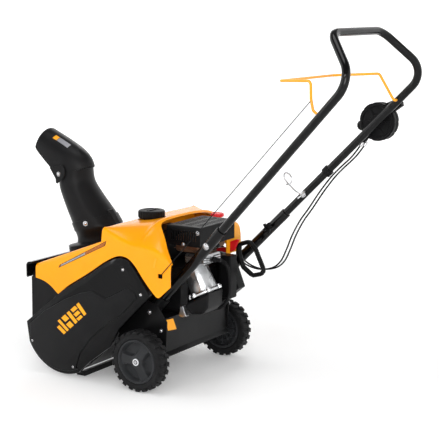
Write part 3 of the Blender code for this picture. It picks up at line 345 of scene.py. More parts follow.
def swept(route, radius, sides=20, wall=0.0):
    """A rod along a route, or a tube with a wall."""
    route = [Vector(p) for p in route]
    count = len(route)
    bm = bmesh.new()
    side = None
    outer, inner = [], []
    for i, point in enumerate(route):
        tangent = (route[min(i + 1, count - 1)] - route[max(i - 1, 0)]).normalized()
        side = axis_frame(tangent)[1] if side is None else (side - tangent * side.dot(tangent)).normalized()
        up = tangent.cross(side)
        spokes = [
            side * math.cos(a) + up * math.sin(a) for a in (2 * math.pi * k / sides for k in range(sides))]
        outer.append([bm.verts.new(point + s * radius) for s in spokes])
        if wall:
            inner.append([bm.verts.new(point + s * (radius - wall)) for s in spokes])
    bridge(bm, outer, closed=True)
    if wall:
        bridge(bm, inner, closed=True)
        bridge(bm, [outer[0], inner[0]], closed=True)
        bridge(bm, [outer[-1], inner[-1]], closed=True)
    else:
        bm.faces.new(outer[0])
        bm.faces.new(list(reversed(outer[-1])))
    return bm


def smooth_route(points, steps=4):
    """A smooth curve through points."""
    points = [Vector(p) for p in points]
    padded = [2 * points[0] - points[1], *points, 2 * points[-1] - points[-2]]
    route = []
    for p0, p1, p2, p3 in zip(padded, padded[1:], padded[2:], padded[3:]):
        for k in range(steps):
            t = k / steps
            route.append(0.5 * (2 * p1 + (p2 - p0) * t + (2 * p0 - 5 * p1 + 4 * p2 - p3) * t * t
                + (3 * p1 - p0 - 3 * p2 + p3) * t ** 3))
    route.append(points[-1])
    return route


def arc(centre, radius, start, stop, steps):
    """Points on an arc between two angles in degrees."""
    angles = [math.radians(start + (stop - start) * k / steps) for k in range(steps + 1)]
    return [(centre[0] + radius * math.cos(a), centre[1] + radius * math.sin(a)) for a in angles]


def shell(rows, wall, closed, skip=lambda row, column: False, levels=0, crease=None):
    """A sheet through rows of points, smoothed by subdivision and thickened inwards."""
    bm = bmesh.new()
    rings = [[bm.verts.new(p) for p in row] for row in rows]
    bridge(bm, rings, closed, skip)
    bmesh.ops.delete(bm, geom=[v for v in bm.verts if not v.link_faces], context="VERTS")
    bm.normal_update()
    if crease:
        layer = bm.edges.layers.float.new("crease_edge")
        for edge in bm.edges:
            edge[layer] = crease(edge)
    mesh = bpy.data.meshes.new("sheet")
    bm.to_mesh(mesh)
    bm.free()
    obj = bpy.data.objects.new("sheet", mesh)
    bpy.context.scene.collection.objects.link(obj)
    if levels:
        smoothing = obj.modifiers.new("smoothing", "SUBSURF")
        smoothing.levels = smoothing.render_levels = levels
    thick = obj.modifiers.new("wall", "SOLIDIFY")
    thick.thickness = wall
    thick.offset = -1.0
    thick.use_even_offset = True
    baked = evaluated_mesh(obj)
    bpy.data.objects.remove(obj)
    result = bmesh.new()
    result.from_mesh(baked)
    bmesh.ops.recalc_face_normals(result, faces=result.faces)
    return result


def dome_screw(centre, axis, radius, height, washer=0.0):
    """A domed head on a washer, with a recess in its crown."""
    r, h, w = radius, height, 0.25 * height
    profile = [
        (0, -0.001), (washer or r, -0.001), (washer or r, w), (r, w), (r, w + 0.15 * h),
        (0.86 * r, 0.72 * h), (0.6 * r, 0.93 * h), (0.36 * r, h), (0.3 * r, 0.8 * h), (0.0, 0.76 * h)]
    return turned(profile, centre, axis, 28)


def hex_head(centre, axis, radius, height):
    """A six-sided bolt head on its flange."""
    def flats(a, r, along):
        return r if r > radius * 1.05 else r / max(0.866, math.cos((a % (math.pi / 3)) - math.pi / 6)) * 0.9
    profile = [
        (0, -0.001), (radius * 1.25, -0.001), (radius * 1.25, 0.2 * height), (radius, 0.2 * height),
        (radius, 0.92 * height), (0.85 * radius, height), (0, height)]
    return turned(profile, centre, axis, 24, flats)


def on_surface(tree, point, direction, lift):
    """Where a ray from outside, against a direction, meets a piece, raised by lift."""
    direction = Vector(direction).normalized()
    hit, normal, _, _ = tree.ray_cast(Vector(point) + direction * 0.15, -direction)
    if hit is None:
        return Vector(point)
    if normal.dot(direction) < 0:
        normal = -normal
    return hit + normal * lift


def surface_patch(target, corners, direction, lift, across=6, along=16):
    """A thin sticker laid on a piece: a grid between four corners, projected onto it."""
    tree = BVHTree.FromPolygons([v.co for v in target.data.vertices],
        [p.vertices[:] for p in target.data.polygons])
    a, b, c, d = (Vector(p) for p in corners)
    loops = []
    for height in (lift, lift - 0.0006):
        grid = []
        for i in range(along + 1):
            u = i / along
            start, stop = a.lerp(b, u), d.lerp(c, u)
            grid.append([on_surface(tree, start.lerp(stop, j / across), direction, height)
                for j in range(across + 1)])
        loops.append(grid)
    bm = bmesh.new()
    top, under = ([[bm.verts.new(p) for p in row] for row in grid] for grid in loops)
    bridge(bm, top, closed=False)
    bridge(bm, under, closed=False)
    for rows in ((top[0], under[0]), (top[-1], under[-1])):
        bridge(bm, rows, closed=False)
    for k in (0, across):
        bridge(bm, [[row[k] for row in top], [row[k] for row in under]], closed=False)
    return bm


# ---- wheels
LUGS = 22
SPOKES = [math.radians(a) for a in (57, 177, 297)]
HUB_RADII = (
    0.0064, 0.01, 0.0125, 0.015, 0.018, 0.0205, 0.022, 0.0235, 0.025, 0.027, 0.03, 0.034, 0.038, 0.042,
    0.046, 0.049, 0.051, 0.053, 0.055, 0.0562, 0.0574, 0.0586, 0.06, 0.062, 0.0632, 0.0641)


def eased(value, low, high):
    """From 0 at low to 1 at high, with soft ends."""
    t = max(0.0, min(1.0, (value - low) / (high - low)))
    return t * t * (3 - 2 * t)


def along_curve(value, points):
    """The height of a broken line at a value."""
    for (x0, y0), (x1, y1) in zip(points, points[1:]):
        if value <= x1:
            return y0 + (y1 - y0) * max(0.0, (value - x0) / (x1 - x0))
    return points[-1][1]


def hub_outer_depth(r, a):
    """Depth of the hub's outer side below the wheel's face: three broad spokes, a ring and pockets."""
    face = along_curve(r, [(0.0064, 0.0008), (0.0125, 0.001), (0.015, 0.003), (0.0205, 0.0042),
        (0.05, 0.0062), (0.0562, 0.0062), (0.058, 0.0012), (0.06, 0.0006), (0.0625, 0.0006),
        (0.0641, 0.0022)])
    beside = min(abs(r * math.sin(a - s)) if math.cos(a - s) > 0 else r for s in SPOKES)
    half_width = 0.0125 + 0.0035 * eased(r, 0.04, 0.056)
    pocket = eased(beside, half_width, half_width + 0.0045) * eased(r, 0.0195, 0.024) * eased(0.056 - r,
        0.0, 0.0035)
    return face + 0.0125 * pocket


def hub_inner_depth(r, a):
    """The inner side: a boss, a rim and twelve thin ribs."""
    rib = min(abs(r * math.sin(a - math.pi * k / 6)) for k in range(6))
    web = along_curve(r, [(0.0064, 0.0), (0.015, 0.0), (0.018, 0.02), (0.055, 0.02), (0.0574, 0.002),
        (0.0641, 0.002)])
    if 0.017 < r < 0.056:
        web -= 0.01 * (1 - eased(rib, 0.001, 0.0022))
    if 0.037 < r < 0.043:
        web = min(web, 0.012)
    return web


def make_hub(side, sign, steps=144):
    """One closed height field for the spoked hub, with its axle cap and the dark pip inside it."""
    bm = bmesh.new()
    rings = []
    for inward, depth in ((False, hub_outer_depth), (True, hub_inner_depth)):
        for r in (reversed(HUB_RADII) if inward else HUB_RADII):
            ring = []
            for k in range(steps):
                a = 2 * math.pi * k / steps
                x = WHEEL_OUT - TYRE_WIDTH + depth(r, a) if inward else WHEEL_OUT - depth(r, a)
                ring.append(bm.verts.new((sign * x, r * math.cos(a), WHEEL_R + r * math.sin(a))))
            rings.append(ring)
    rings.append(rings[0])
    bridge(bm, rings, closed=True)
    body = "wheel_" + side
    piece("hub_moulding_" + side, bm, "grey_plastic", body=body, stands_for=("hub_" + side,), sharp=50)
    x = sign * (WHEEL_OUT - 0.001)
    ring = turned([(0.0066, -0.001), (0.01, -0.001), (0.01, 0.0018), (0.0092, 0.0028), (0.0074, 0.0028),
        (0.0066, 0.0018)], (x, 0, WHEEL_R), (sign, 0, 0), 36)
    piece("hub_cap_" + side, ring, "light_plastic", body=body, sharp=40)
    pip = turned([(0, 0.0), (0.0064, 0.0), (0.0064, 0.0024), (0.005, 0.003), (0.003, 0.0018), (0, 0.0016)],
        (x, 0, WHEEL_R), (sign, 0, 0), 32)
    piece("hub_pip_" + side, pip, "label_dark", body=body, sharp=40)


def make_tyre(side, sign):
    """A ribbed side wall with two rows of staggered lugs."""
    centre = (sign * (WHEEL_OUT - TYRE_WIDTH / 2), 0, WHEEL_R)
    half, root = TYRE_WIDTH / 2, WHEEL_R - 0.0055
    wall = [
        (RIM_R, 0.78), (0.0655, 0.9), (0.0675, 0.94), (0.069, 0.955), (0.0702, 0.93), (0.0722, 0.945),
        (0.077, 0.96), (0.079, 0.93), (0.0815, 0.84), (root, 0.7), (root + 0.0004, 0.35)]
    profile = [(r, -half * f) for r, f in wall] + [(r, half * f) for r, f in reversed(wall)]
    parts = [turned(profile, centre, (1, 0, 0), 96)]
    top = WHEEL_R - 0.0002
    section = [
        (0.0016, root - 0.002), (0.0016, top), (0.6 * half, top), (0.88 * half, top - 0.0012),
        (0.985 * half, 0.084), (0.985 * half, 0.08), (0.85 * half, 0.0795), (0.5 * half, root - 0.002)]
    for edge in (-1, 1):
        for k in range(LUGS):
            middle = 2 * math.pi * (k + (0.5 if edge > 0 else 0.0)) / LUGS
            loops = []
            for flank in (-1, 1):
                loop = []
                for x, r in section:
                    width = 0.068 + 0.022 * x / half - 0.012 * eased(r, root, top)
                    a = middle + edge * 0.085 * (x / half - 0.5) + flank * width
                    loop.append((centre[0] + edge * x, r * math.cos(a), WHEEL_R + r * math.sin(a)))
                loops.append(loop)
            parts.append(stacked(loops))
    piece("lugged_tyre_" + side, joined(*parts), "tyre", body="wheel_" + side, stands_for=("tyre_" + side,),
          sharp=40, bevel=0.0006)


# ---- hood
def ridge_z(y):
    """Height of the deck's side ridges."""
    return 0.331 + (y + 0.371) * 0.376


def valley_z(y):
    """Height of the deck between the ridges, square to the chute."""
    return CHUTE_Z + (y - CHUTE_Y) * VALLEY_SLOPE


def hood_side_z(y):
    """Height of the hood's lower edge, which rises over the belt cover's arch."""
    return along_curve(y, [(-0.371, 0.288), (-0.352, 0.286), (-0.334, 0.2817), (-0.308, 0.2676),
        (-0.2915, 0.252), (-0.279, 0.245), (-0.266, 0.268), (-0.169, 0.326), (-0.11, 0.366),
        (-0.076, 0.384), (-0.05, 0.391), (-0.022, 0.384), (0.0, 0.362), (0.03, 0.323), (0.056, 0.296),
        (0.074, 0.28), (0.118, 0.32)])


def deck_row(y):
    """Half a section of the deck, from the middle to the lower edge."""
    low, high = valley_z(y), ridge_z(y)
    return [(0.0, y, low), (0.1, y, low), (0.17, y, low), (0.2, y, high - 0.003), (0.227, y, high),
        (HOOD_HALF, y, high - 0.008), (HOOD_HALF, y, (high + hood_side_z(y)) / 2 - 0.01),
        (HOOD_HALF, y, min(hood_side_z(y), high - 0.022))]


def tank_row(y, top_z, shoulder_x, shoulder_z):
    """Half a section of the tank cover, from the middle to the lower edge."""
    low = hood_side_z(y)
    return [(0.0, y, top_z), (shoulder_x * 0.6, y, top_z), (shoulder_x, y, top_z - 0.003),
        ((shoulder_x + HOOD_HALF) / 2, y, (top_z + shoulder_z) / 2 + 0.004),
        (HOOD_HALF - 0.005, y, shoulder_z + 0.006), (HOOD_HALF, y, shoulder_z - 0.01),
        (HOOD_HALF, y, (shoulder_z - 0.01 + low) / 2), (HOOD_HALF, y, low)]


# y, height of the top, and where the shoulder turns down
TANK_STATIONS = (
    (-0.12, 0.46, 0.214, 0.454), (-0.117, 0.4645, 0.213, 0.457), (-0.1, 0.467, 0.196, 0.452),
    (-0.076, 0.469, 0.176, 0.441), (-0.05, 0.472, 0.158, 0.432), (-0.022, 0.476, 0.148, 0.424),
    (-0.002, 0.4795, 0.142, 0.421), (0.0035, 0.486, 0.14, 0.42), (0.011, 0.487, 0.14, 0.42),
    (0.016, 0.48, 0.142, 0.419), (0.035, 0.466, 0.158, 0.417), (0.06, 0.447, 0.18, 0.412),
    (0.074, 0.433, 0.192, 0.406), (0.085, 0.42, 0.203, 0.4), (0.1165, 0.384, 0.222, 0.372))


def right_drop(x, y):
    """The lip and the tank cover fall away towards the right-hand edge."""
    return 0.012 * eased(x, 0.06, 0.13) * eased(y, -0.06, -0.01)


def make_hood():
    """Sloping deck between two ridges, a step up to the lipped tank cover, and the left cheek behind it."""
    halves = [
        deck_row(y) for y in (-0.3705, -0.36, -0.334, -0.308, -0.2915, -0.279, -0.266, -0.225, -0.169,
        -0.132, -0.123)]
    halves += [tank_row(*station) for station in TANK_STATIONS]
    rows = [[(-x, y, z - right_drop(x, y)) for x, y, z in reversed(half[1:])] + half for half in halves]
    middle = len(halves[0]) - 1
    lip = len(rows) - 6

    def open_bay(row, column):
        return row >= lip and column < middle + 2

    def crease(edge):
        (a, b) = (v.co for v in edge.verts)
        along = abs(a.y - b.y) > 0.001
        if edge.is_boundary:
            return 1.0
        at_step = not along and -0.124 < a.y < -0.116
        return 0.95 if at_step else 0.25 if along and min(abs(a.x), abs(b.x)) > 0.19 and a.y < -0.122 else 0.0

    sheet = shell(rows, 0.003, False, skip=open_bay, levels=2, crease=crease)
    hood = raw_object("hood_moulding", sheet)
    cut(hood, turned([(0, -0.05), (0.067, -0.05), (0.067, 0.05), (0, 0.05)], (0, CHUTE_Y, CHUTE_Z),
        CHUTE_AXIS, 64))
    cut(hood, turned([(0, -0.03), (CAP_R + 0.0025, -0.03), (CAP_R + 0.0025, 0.08), (0, 0.08)], CAP_CENTRE,
        (0, 0, 1), 64))
    cut(hood, box((0.224, 0.0745, 0.34), (0.26, 0.0905, 0.353)))
    stripe = [
        (HOOD_HALF, y, z) for y, z in ((-0.2823, 0.3275), (-0.108, 0.412), (-0.1035, 0.4265),
        (-0.2766, 0.3375))]
    make_stripe(hood, stripe)
    plaque = surface_patch(hood, [(HOOD_HALF, 0.0585, 0.368), (HOOD_HALF, 0.0655, 0.396),
        (HOOD_HALF, 0.072, 0.395), (HOOD_HALF, 0.065, 0.367)], (1, 0, 0), 0.0008)
    piece("hood_plaque", plaque, "panel_paint", bevel=0.0004)
    placed(hood, "hood_paint", stands_for=("hood",), sharp=32, bevel=0.0008)


def make_stripe(hood, corners):
    """A dark ruled band on the hood's side, with pale marks at the front and brown hatching behind them."""
    a, b, c, d = (Vector(p) for p in corners)
    piece("hood_stripe", surface_patch(hood, corners, (1, 0, 0.05), 0.0004, 4, 30), "label_brown")

    def bar(u0, u1, shift, low, high):
        low0, low1 = a.lerp(b, u0), a.lerp(b, u1)
        high0, high1 = d.lerp(c, min(0.99, u0 + shift)), d.lerp(c, min(0.99, u1 + shift))
        quad = [low0.lerp(high0, low), low1.lerp(high1, low), low1.lerp(high1, high), low0.lerp(high0, high)]
        return surface_patch(hood, quad, (1, 0, 0.05), 0.0008, 2, 1)
    pale = [bar((k + 0.1) / 30, (k + 0.62) / 30, 0.015, 0.22, 0.8) for k in range(1, 17)]
    piece("hood_stripe_marks", joined(*pale), "label_pale")
    hatch = [bar((k + 0.1) / 46, (k + 0.6) / 46, 0.02, 0.14, 0.86) for k in range(26, 45)]
    piece("hood_stripe_hatch", joined(*hatch), "label_tan")


# ---- belt cover
COVER_X0 = 0.2253
COVER_TOP = [
    (-0.4085, 0.15), (-0.266, 0.264), (-0.169, 0.32), (-0.11, 0.36), (-0.076, 0.378), (-0.05, 0.385),
    (-0.026, 0.379), (-0.005, 0.359), (0.024, 0.322), (0.048, 0.29)]
COVER_REAR = [(0.043, 0.279), (-0.06, 0.177), (-0.092, 0.12), (-0.115, 0.102), (-0.169, 0.062)]
COVER_FACE = [
    (-0.391, 0.1456), (-0.3338, 0.1929), (-0.2508, 0.2406), (-0.1969, 0.2646), (-0.1547, 0.2764),
    (-0.129, 0.2714), (-0.1009, 0.2605), (-0.0624, 0.2801), (-0.0244, 0.3014), (0.001, 0.2905),
    (0.007, 0.276), (-0.05, 0.217), (-0.0946, 0.191), (-0.158, 0.136), (-0.2015, 0.082), (-0.218, 0.037)]
COVER_MIDDLE = Vector((-0.18, 0.21))


def drawn_in(outline, distance):
    """An outline shrunk towards the cover's middle."""
    result = []
    for y, z in outline:
        v = COVER_MIDDLE - Vector((y, z))
        p = Vector((y, z)) + v.normalized() * min(distance, 0.4 * v.length)
        result.append((p.x, p.y))
    return result


def make_belt_cover():
    """A gloss arch round a raised satin face, standing off the side plate."""
    outline = COVER_TOP + COVER_REAR + arc((-0.27, 0.155), 0.145, 293, 207, 16)
    levels = [
        (0.0, COVER_X0), (0.0, 0.2372), (0.0006, 0.2388), (0.0018, 0.24), (0.02, 0.2436), (0.0225, 0.2438)]
    loops = [[(x, y, z) for y, z in drawn_in(outline, inset)] for inset, x in levels]
    inner = [(0.2412, y, z) for y, z in drawn_in(outline, 0.021)]
    rim = [(0.237, y, z) for y, z in drawn_in(outline, 0.0024)]
    foot = [(COVER_X0, y, z) for y, z in drawn_in(outline, 0.0024)]
    bm = bmesh.new()
    rings = [[bm.verts.new(p) for p in loop] for loop in [foot, *loops]]
    bridge(bm, rings, closed=True)
    bm.faces.new(rings[-1])
    back = [[bm.verts.new(p) for p in loop] for loop in (inner, rim)]
    bridge(bm, [*back, rings[0]], closed=True)
    bm.faces.new(back[0])
    piece("belt_cover_shell", bm, "gloss_black", stands_for=("belt_cover",), sharp=28, bevel=0.0007)
    face = COVER_FACE + arc((-0.27, 0.155), 0.1345, 296, 209, 14)
    loops = [
        [(x, y, z) for y, z in drawn_in(face, inset)]
        for inset, x in ((0.0, 0.2425), (0.0003, 0.2452), (0.0012, 0.2464), (0.003, 0.247))]
    piece("belt_cover_face", stacked(loops), "satin_black", sharp=40)
    for number, (y, z) in enumerate(((-0.0394, 0.3524), (0.0213, 0.2878), (-0.3814, 0.096),
            (-0.2268, 0.0393)), 1):
        x = 0.2405 if number < 3 else 0.2436
        piece("cover_screw_%d" % number, dome_screw((x, y, z), (1, 0, 0), 0.005, 0.2478 - x, 0.0064),
            "zinc", sharp=40)
    ribs = [
        ((-0.0711, 0.353), (-0.052, 0.3265)), ((-0.0219, 0.306), (0.004, 0.299)),
        ((-0.0219, 0.312), (0.001, 0.306))]
    rods = [swept([(0.243, *a), (0.2432, *b)], 0.0011, 10) for a, b in ribs]
    piece("cover_ribs", joined(*rods), "gloss_black")
    make_cover_mark()


def make_cover_mark():
    """Generic mark: slanted bars of growing length inside a leaning parallelogram."""
    a, b, c, d = (
        Vector(p) for p in ((-0.2937, 0.1596), (-0.1972, 0.239), (-0.1721, 0.2069), (-0.2602, 0.1312)))
    bars = []

    def at(u, v):
        return a.lerp(b, u).lerp(d.lerp(c, u), v)
    for start, stop, low, high in ((0.0, 0.1, 0.3, 1.0), (0.14, 0.22, 0.0, 1.0), (0.28, 0.44, 0.0, 0.42),
            (0.28, 0.44, 0.58, 1.0), (0.5, 0.6, 0.0, 1.0), (0.65, 0.83, 0.0, 0.28), (0.65, 0.83, 0.4, 0.66),
            (0.65, 0.83, 0.78, 1.0), (0.88, 0.98, 0.0, 1.0)):
        loop = [at(start, low), at(stop, low), at(stop + 0.03, high), at(start + 0.03, high)]
        bars.append(prism([(p.x, p.y) for p in loop], 0.2468, 0.2474))
    piece("cover_mark", joined(*bars), "label_orange", bevel=0.0001)


# ---- chute
def chute_point(out, up=0.0, side=0.0):
    """A point by its distance forward of, along and beside the chute's axis."""
    c, s = math.cos(CHUTE_TILT), math.sin(CHUTE_TILT)
    return Vector((side, CHUTE_Y - c * out - s * up, CHUTE_Z - s * out + c * up))


# half width, half depth, forward offset and height along the axis
TUBE_SECTIONS = (
    (0.063, 0.063, 0.0, 0.027), (0.0622, 0.0622, -0.002, 0.036), (0.062, 0.062, -0.004, 0.048),
    (0.07, 0.07, -0.01, 0.062), (0.074, 0.074, -0.013, 0.074), (0.073, 0.073, -0.008, 0.086),
    (0.072, 0.0715, -0.003, 0.1), (0.0697, 0.0675, 0.009, 0.125), (0.067, 0.063, 0.021, 0.15),
    (0.064, 0.0575, 0.034, 0.18), (0.0608, 0.0525, 0.0465, 0.212), (0.059, 0.051, 0.0435, 0.232),
    (0.0575, 0.0495, 0.04, 0.252))


def tube_section(up):
    """Half width, half depth and offset of the chute tube at a height along its axis."""
    for low, high in zip(TUBE_SECTIONS, TUBE_SECTIONS[1:]):
        if up <= high[3]:
            t = max(0.0, (up - low[3]) / (high[3] - low[3]))
            return [low[i] + (high[i] - low[i]) * t for i in range(3)]
    return TUBE_SECTIONS[-1][:3]


def make_chute_tube():
    """The oval tube that bends forward, on its toothed turning ring."""
    steps = 64
    rows = []
    for r_x, r_f, out, up in TUBE_SECTIONS:
        rows.append([chute_point(out + r_f * math.cos(a), up, r_x * math.sin(a))
            for a in (2 * math.pi * k / steps for k in range(steps))])
    tube = shell(rows, 0.0028, True, levels=1)
    rim = [(0.0625, 0.008), (0.088, 0.008), (0.091, 0.01), (0.091, 0.0125), (0.0885, 0.014), (0.091, 0.0155),
           (0.091, 0.0185), (0.0885, 0.02), (0.091, 0.0215), (0.091, 0.0245), (0.089, 0.0262), (0.07, 0.0275),
           (0.0625, 0.031)]
    teeth = turned(rim, chute_point(0), CHUTE_AXIS, 120)
    piece("chute_moulding", joined(tube, teeth), "satin_black", body="chute", stands_for=("chute_tube",),
        sharp=40)
    make_chute_wrap()


def make_chute_wrap():
    """The lower band that laps round the tube, with its clamp bolt, edge seam and rear catch."""
    steps, rows = 64, []
    for j in range(7):
        row = []
        for k in range(steps):
            a = 2 * math.pi * k / steps
            top = 0.0985 - 0.008 * math.cos(a)
            up = 0.066 + (top - 0.066) * j / 6
            r_x, r_f, out = tube_section(up)
            row.append(chute_point(out + (r_f + 0.0026) * math.cos(a), up, (r_x + 0.0026) * math.sin(a)))
        rows.append(row)
    piece("chute_wrap", shell(rows, 0.0024, True), "satin_black", body="chute", bevel=0.0004)
    bolt = Vector((0.0737, -0.3102, 0.4319))
    outward = Vector((0.97, 0.23, 0.05)).normalized()
    piece("chute_clamp_bolt", dome_screw(bolt, outward, 0.0058, 0.0052, 0.0075), "zinc", body="chute",
        sharp=40)
    catch = []
    for up in (0.07, 0.118):
        r_x, r_f, out = tube_section(up)
        back = out - r_f
        catch.append([chute_point(back - depth, up, side)
            for depth, side in ((-0.002, -0.014), (0.0065, -0.012), (0.0065, 0.012), (-0.002, 0.014))])
    piece("chute_catch", stacked(catch), "black_plastic", body="chute", bevel=0.0012)


# crown and rim as (y, z), and half width
DEFLECTOR_SPINE = (
    ((-0.341, 0.596), (-0.435, 0.564), 0.064), ((-0.344, 0.608), (-0.4385, 0.571), 0.064),
    ((-0.352, 0.624), (-0.443, 0.579), 0.064), ((-0.373, 0.645), (-0.452, 0.592), 0.0635),
    ((-0.412, 0.666), (-0.474, 0.61), 0.063), ((-0.456, 0.686), (-0.495, 0.628), 0.0615),
    ((-0.503, 0.706), (-0.517, 0.647), 0.059))


def deflector_rows(columns=24):
    """Half-oval sections from the pivot to the mouth."""
    rows = []
    for crown, rim, half in DEFLECTOR_SPINE:
        crown, rim = Vector(crown), Vector(rim)
        row = []
        for k in range(columns + 1):
            a = math.pi * k / columns
            p = rim.lerp(crown, math.sin(a))
            row.append((half * math.cos(a), p.x, p.y))
        rows.append(row)
    return rows


def make_deflector():
    """The tilting hood on the chute, with its ears, pivot screws and blank labels."""
    hood = raw_object("deflector_moulding", shell(deflector_rows(), 0.0028, False, levels=1))
    y, z = DEFLECTOR_PIVOT.y, DEFLECTOR_PIVOT.z
    cut(hood, turned([(0, -0.1), (0.0036, -0.1), (0.0036, 0.1), (0, 0.1)], (0, y, z), (1, 0, 0), 24))
    label = [(0.02, -0.464, 0.69), (0.02, -0.449, 0.684), (0.04, -0.449, 0.684), (0.04, -0.464, 0.69)]
    outward = (0.55, 0.25, 0.8)
    piece("deflector_label_a", surface_patch(hood, label, outward, 0.0003), "label_orange", body="deflector")
    label = [(0.02, -0.4475, 0.684), (0.02, -0.406, 0.664), (0.04, -0.406, 0.664), (0.04, -0.4475, 0.684)]
    piece("deflector_label_b", surface_patch(hood, label, outward, 0.0003), "label_grey", body="deflector")
    placed(hood, "satin_black", body="deflector", stands_for=("chute_deflector",), sharp=40, bevel=0.0005)
    ear = [
        (y - 0.0354, z + 0.0176), (y + 0.015, z + 0.0285), (y + 0.023, z + 0.018), (y + 0.0255, z + 0.0001),
        (y + 0.017, z - 0.0129), (y - 0.0055, z - 0.03), (y - 0.011, z - 0.029), (y - 0.0125, z - 0.015)]
    for side, sign in SIDES:
        plate = prism(ear, sign * 0.0632, sign * 0.0656)
        piece("deflector_ear_" + side, plate, "satin_black", body="deflector", bevel=0.0006)
        bolt = dome_screw((sign * 0.0648, y, z), (sign, 0, 0), 0.0058, 0.0046, 0.007)
        piece("deflector_screw_" + side, bolt, "zinc", body="chute", stands_for=("deflector_bolt_" + side,),
            sharp=40)


# ---- engine
def make_fuel_cap():
    """Black cap with a knurled rim and a raised cross bar."""
    def knurled(a, r, along):
        return r - 0.0013 * (math.sin(24 * a) > 0.2) if r > 0.036 and 0.041 < along < 0.06 else r
    profile = [
        (0, 0.036), (0.0265, 0.036), (0.037, 0.0385), (0.039, 0.042), (CAP_R, 0.044), (CAP_R, 0.057),
        (0.038, 0.0605), (0.035, 0.062), (0.025, 0.0626), (0.0235, 0.0608), (0.0, 0.0602)]
    cap = turned(profile, CAP_CENTRE, (0, 0, 1), 144, knurled)
    x, y, z = CAP_CENTRE
    bar = box((x - 0.02, y - 0.004, z + 0.0595), (x + 0.02, y + 0.004, z + 0.0632))
    piece("fuel_cap_moulding", joined(cap, bar), "black_plastic", body="fuel_cap", stands_for=("fuel_cap",),
          sharp=40, bevel=0.0005)


FLANGE_CENTRE = Vector((0.058, 0.1132, 0.27))
BELL_AXIS = Vector((0.0, -0.44, 0.898)).normalized()


def make_casing():
    """Cast bell that leans forward, with a flange, stiffening ribs and small bolts."""
    def ribbed(a, r, along):
        rib = max(0.0, math.cos(7 * a)) ** 16
        return r + (0.0014 * rib if 0.012 < along < 0.085 else 0.0)
    profile = [
        (0, -0.004), (0.044, -0.004), (0.045, -0.0028), (0.045, 0.0018), (0.044, 0.003), (0.042, 0.0036),
        (0.04, 0.007), (0.039, 0.02), (0.0375, 0.045), (0.0352, 0.07), (0.031, 0.086), (0.024, 0.094),
        (0.0, 0.096)]
    bell = turned(profile, FLANGE_CENTRE, BELL_AXIS, 96, ribbed)
    piece("cylinder_casing", bell, "cast_aluminium", stands_for=("cylinder",), sharp=30, bevel=0.0006)
    _, side, up = axis_frame(BELL_AXIS)
    ears, bolts = [], []
    for degrees in (12, 58, 118, 170, 232, 300):
        a = math.radians(degrees)
        centre = FLANGE_CENTRE + (side * math.cos(a) + up * math.sin(a)) * 0.0445
        ears.append(turned([(0, -0.0045), (0.0075, -0.0045), (0.0078, -0.0035), (0.0078, 0.0035),
            (0.0068, 0.0048), (0, 0.0048)], centre, BELL_AXIS, 24))
        bolts.append(hex_head(centre + BELL_AXIS * 0.0048, BELL_AXIS, 0.0036, 0.0034))
    piece("casing_ears", joined(*ears), "cast_aluminium", bevel=0.0005)
    piece("casing_bolts", joined(*bolts), "zinc", sharp=40)
    # Dark black-steel dots on the bell stand for vent holes: painted shade for the holes' shaded insides.
    vent_shade_dots = []
    for row in range(3):
        for k in range(5):
            a = math.radians(8 + 9 * k)
            centre = FLANGE_CENTRE + BELL_AXIS * (0.02 + 0.01 * row) + (
                side * math.cos(a) + up * math.sin(a)) * 0.0375
            outward = side * math.cos(a) + up * math.sin(a)
            vent_shade_dots.append(turned([(0, 0), (0.0017, 0), (0.0017, 0.0022), (0, 0.0022)], centre, outward, 12))
    piece("casing_vent_shade_dots", joined(*vent_shade_dots), "black_steel", sharp=40)
    # A dark block under the casing flange: partly dark engine parts, partly painted shade under the flange.
    sump_and_shade = [(0.07, 0.23), (0.079, 0.243), (0.15, 0.28), (0.146, 0.235), (0.13, 0.214), (0.088, 0.208)]
    piece("engine_sump_and_shade", prism(sump_and_shade, 0.016, 0.096), "black_steel", bevel=0.006, segments=3)
    foot = [(0.058, 0.206), (0.064, 0.233), (0.074, 0.235), (0.08, 0.216), (0.086, 0.206), (0.07, 0.201)]
    piece("engine_foot", prism(foot, 0.098, 0.113), "steel", bevel=0.0015, segments=3)


def make_muffler():
    """A rounded can with two rolled seams."""
    body = box((-0.04, 0.034, 0.388), (0.098, 0.122, 0.438))
    piece("muffler_can", body, "heat_steel", stands_for=("muffler",), bevel=0.012, segments=5)
    ridges = [box((-0.0405, 0.0335, z), (0.0985, 0.1225, z + 0.0022)) for z in (0.3985, 0.412)]
    piece("muffler_seams", joined(*ridges), "heat_steel", bevel=0.009, segments=4)


def make_guard():
    """Moulded heat guard: hollow box with three rows of slots in its top and a louvred rear."""
    low, high = Vector((-0.06, 0.024, 0.413)), Vector((0.121, 0.139, 0.47))
    guard = raw_object("muffler_guard_moulding", stacked([[(low.x + e, low.y + e, z),
        (high.x - e, low.y + e, z), (high.x - e, high.y - e, z), (low.x + e, high.y - e, z)]
        for e, z in ((0.0, low.z), (0.0, high.z - 0.005), (0.0015, high.z - 0.0018), (0.005, high.z))]))
    inner = box(low + Vector((0.003, 0.003, -0.02)), high - Vector((0.003, 0.003, 0.003)))
    slots = []
    for row in range(3):
        y = low.y + 0.016 + 0.033 * row
        for k in range(13):
            x = low.x + 0.015 + 0.0118 * k
            slots.append(stacked([[(x, y, z), (x + 0.005, y + 0.002, z), (x + 0.005, y + 0.025, z),
                (x, y + 0.023, z)] for z in (0.46, 0.48)]))
    for k in range(11):
        y = low.y + 0.015 + 0.0082 * k
        slots.append(box((high.x - 0.01, y, 0.428), (high.x + 0.01, y + 0.0038, 0.456)))
    cut(guard, inner)
    cut(guard, joined(*slots))
    placed(guard, "black_plastic", stands_for=("muffler_guard",), sharp=30, bevel=0.0006)
    for number, (y, z) in enumerate(((0.082, 0.418), (0.131, 0.454)), 1):
        centre = (high.x - 0.0006, y, z)
        piece("guard_screw_%d" % number, dome_screw(centre, (1, 0, 0), 0.0046, 0.004, 0.006), "zinc",
            sharp=40)


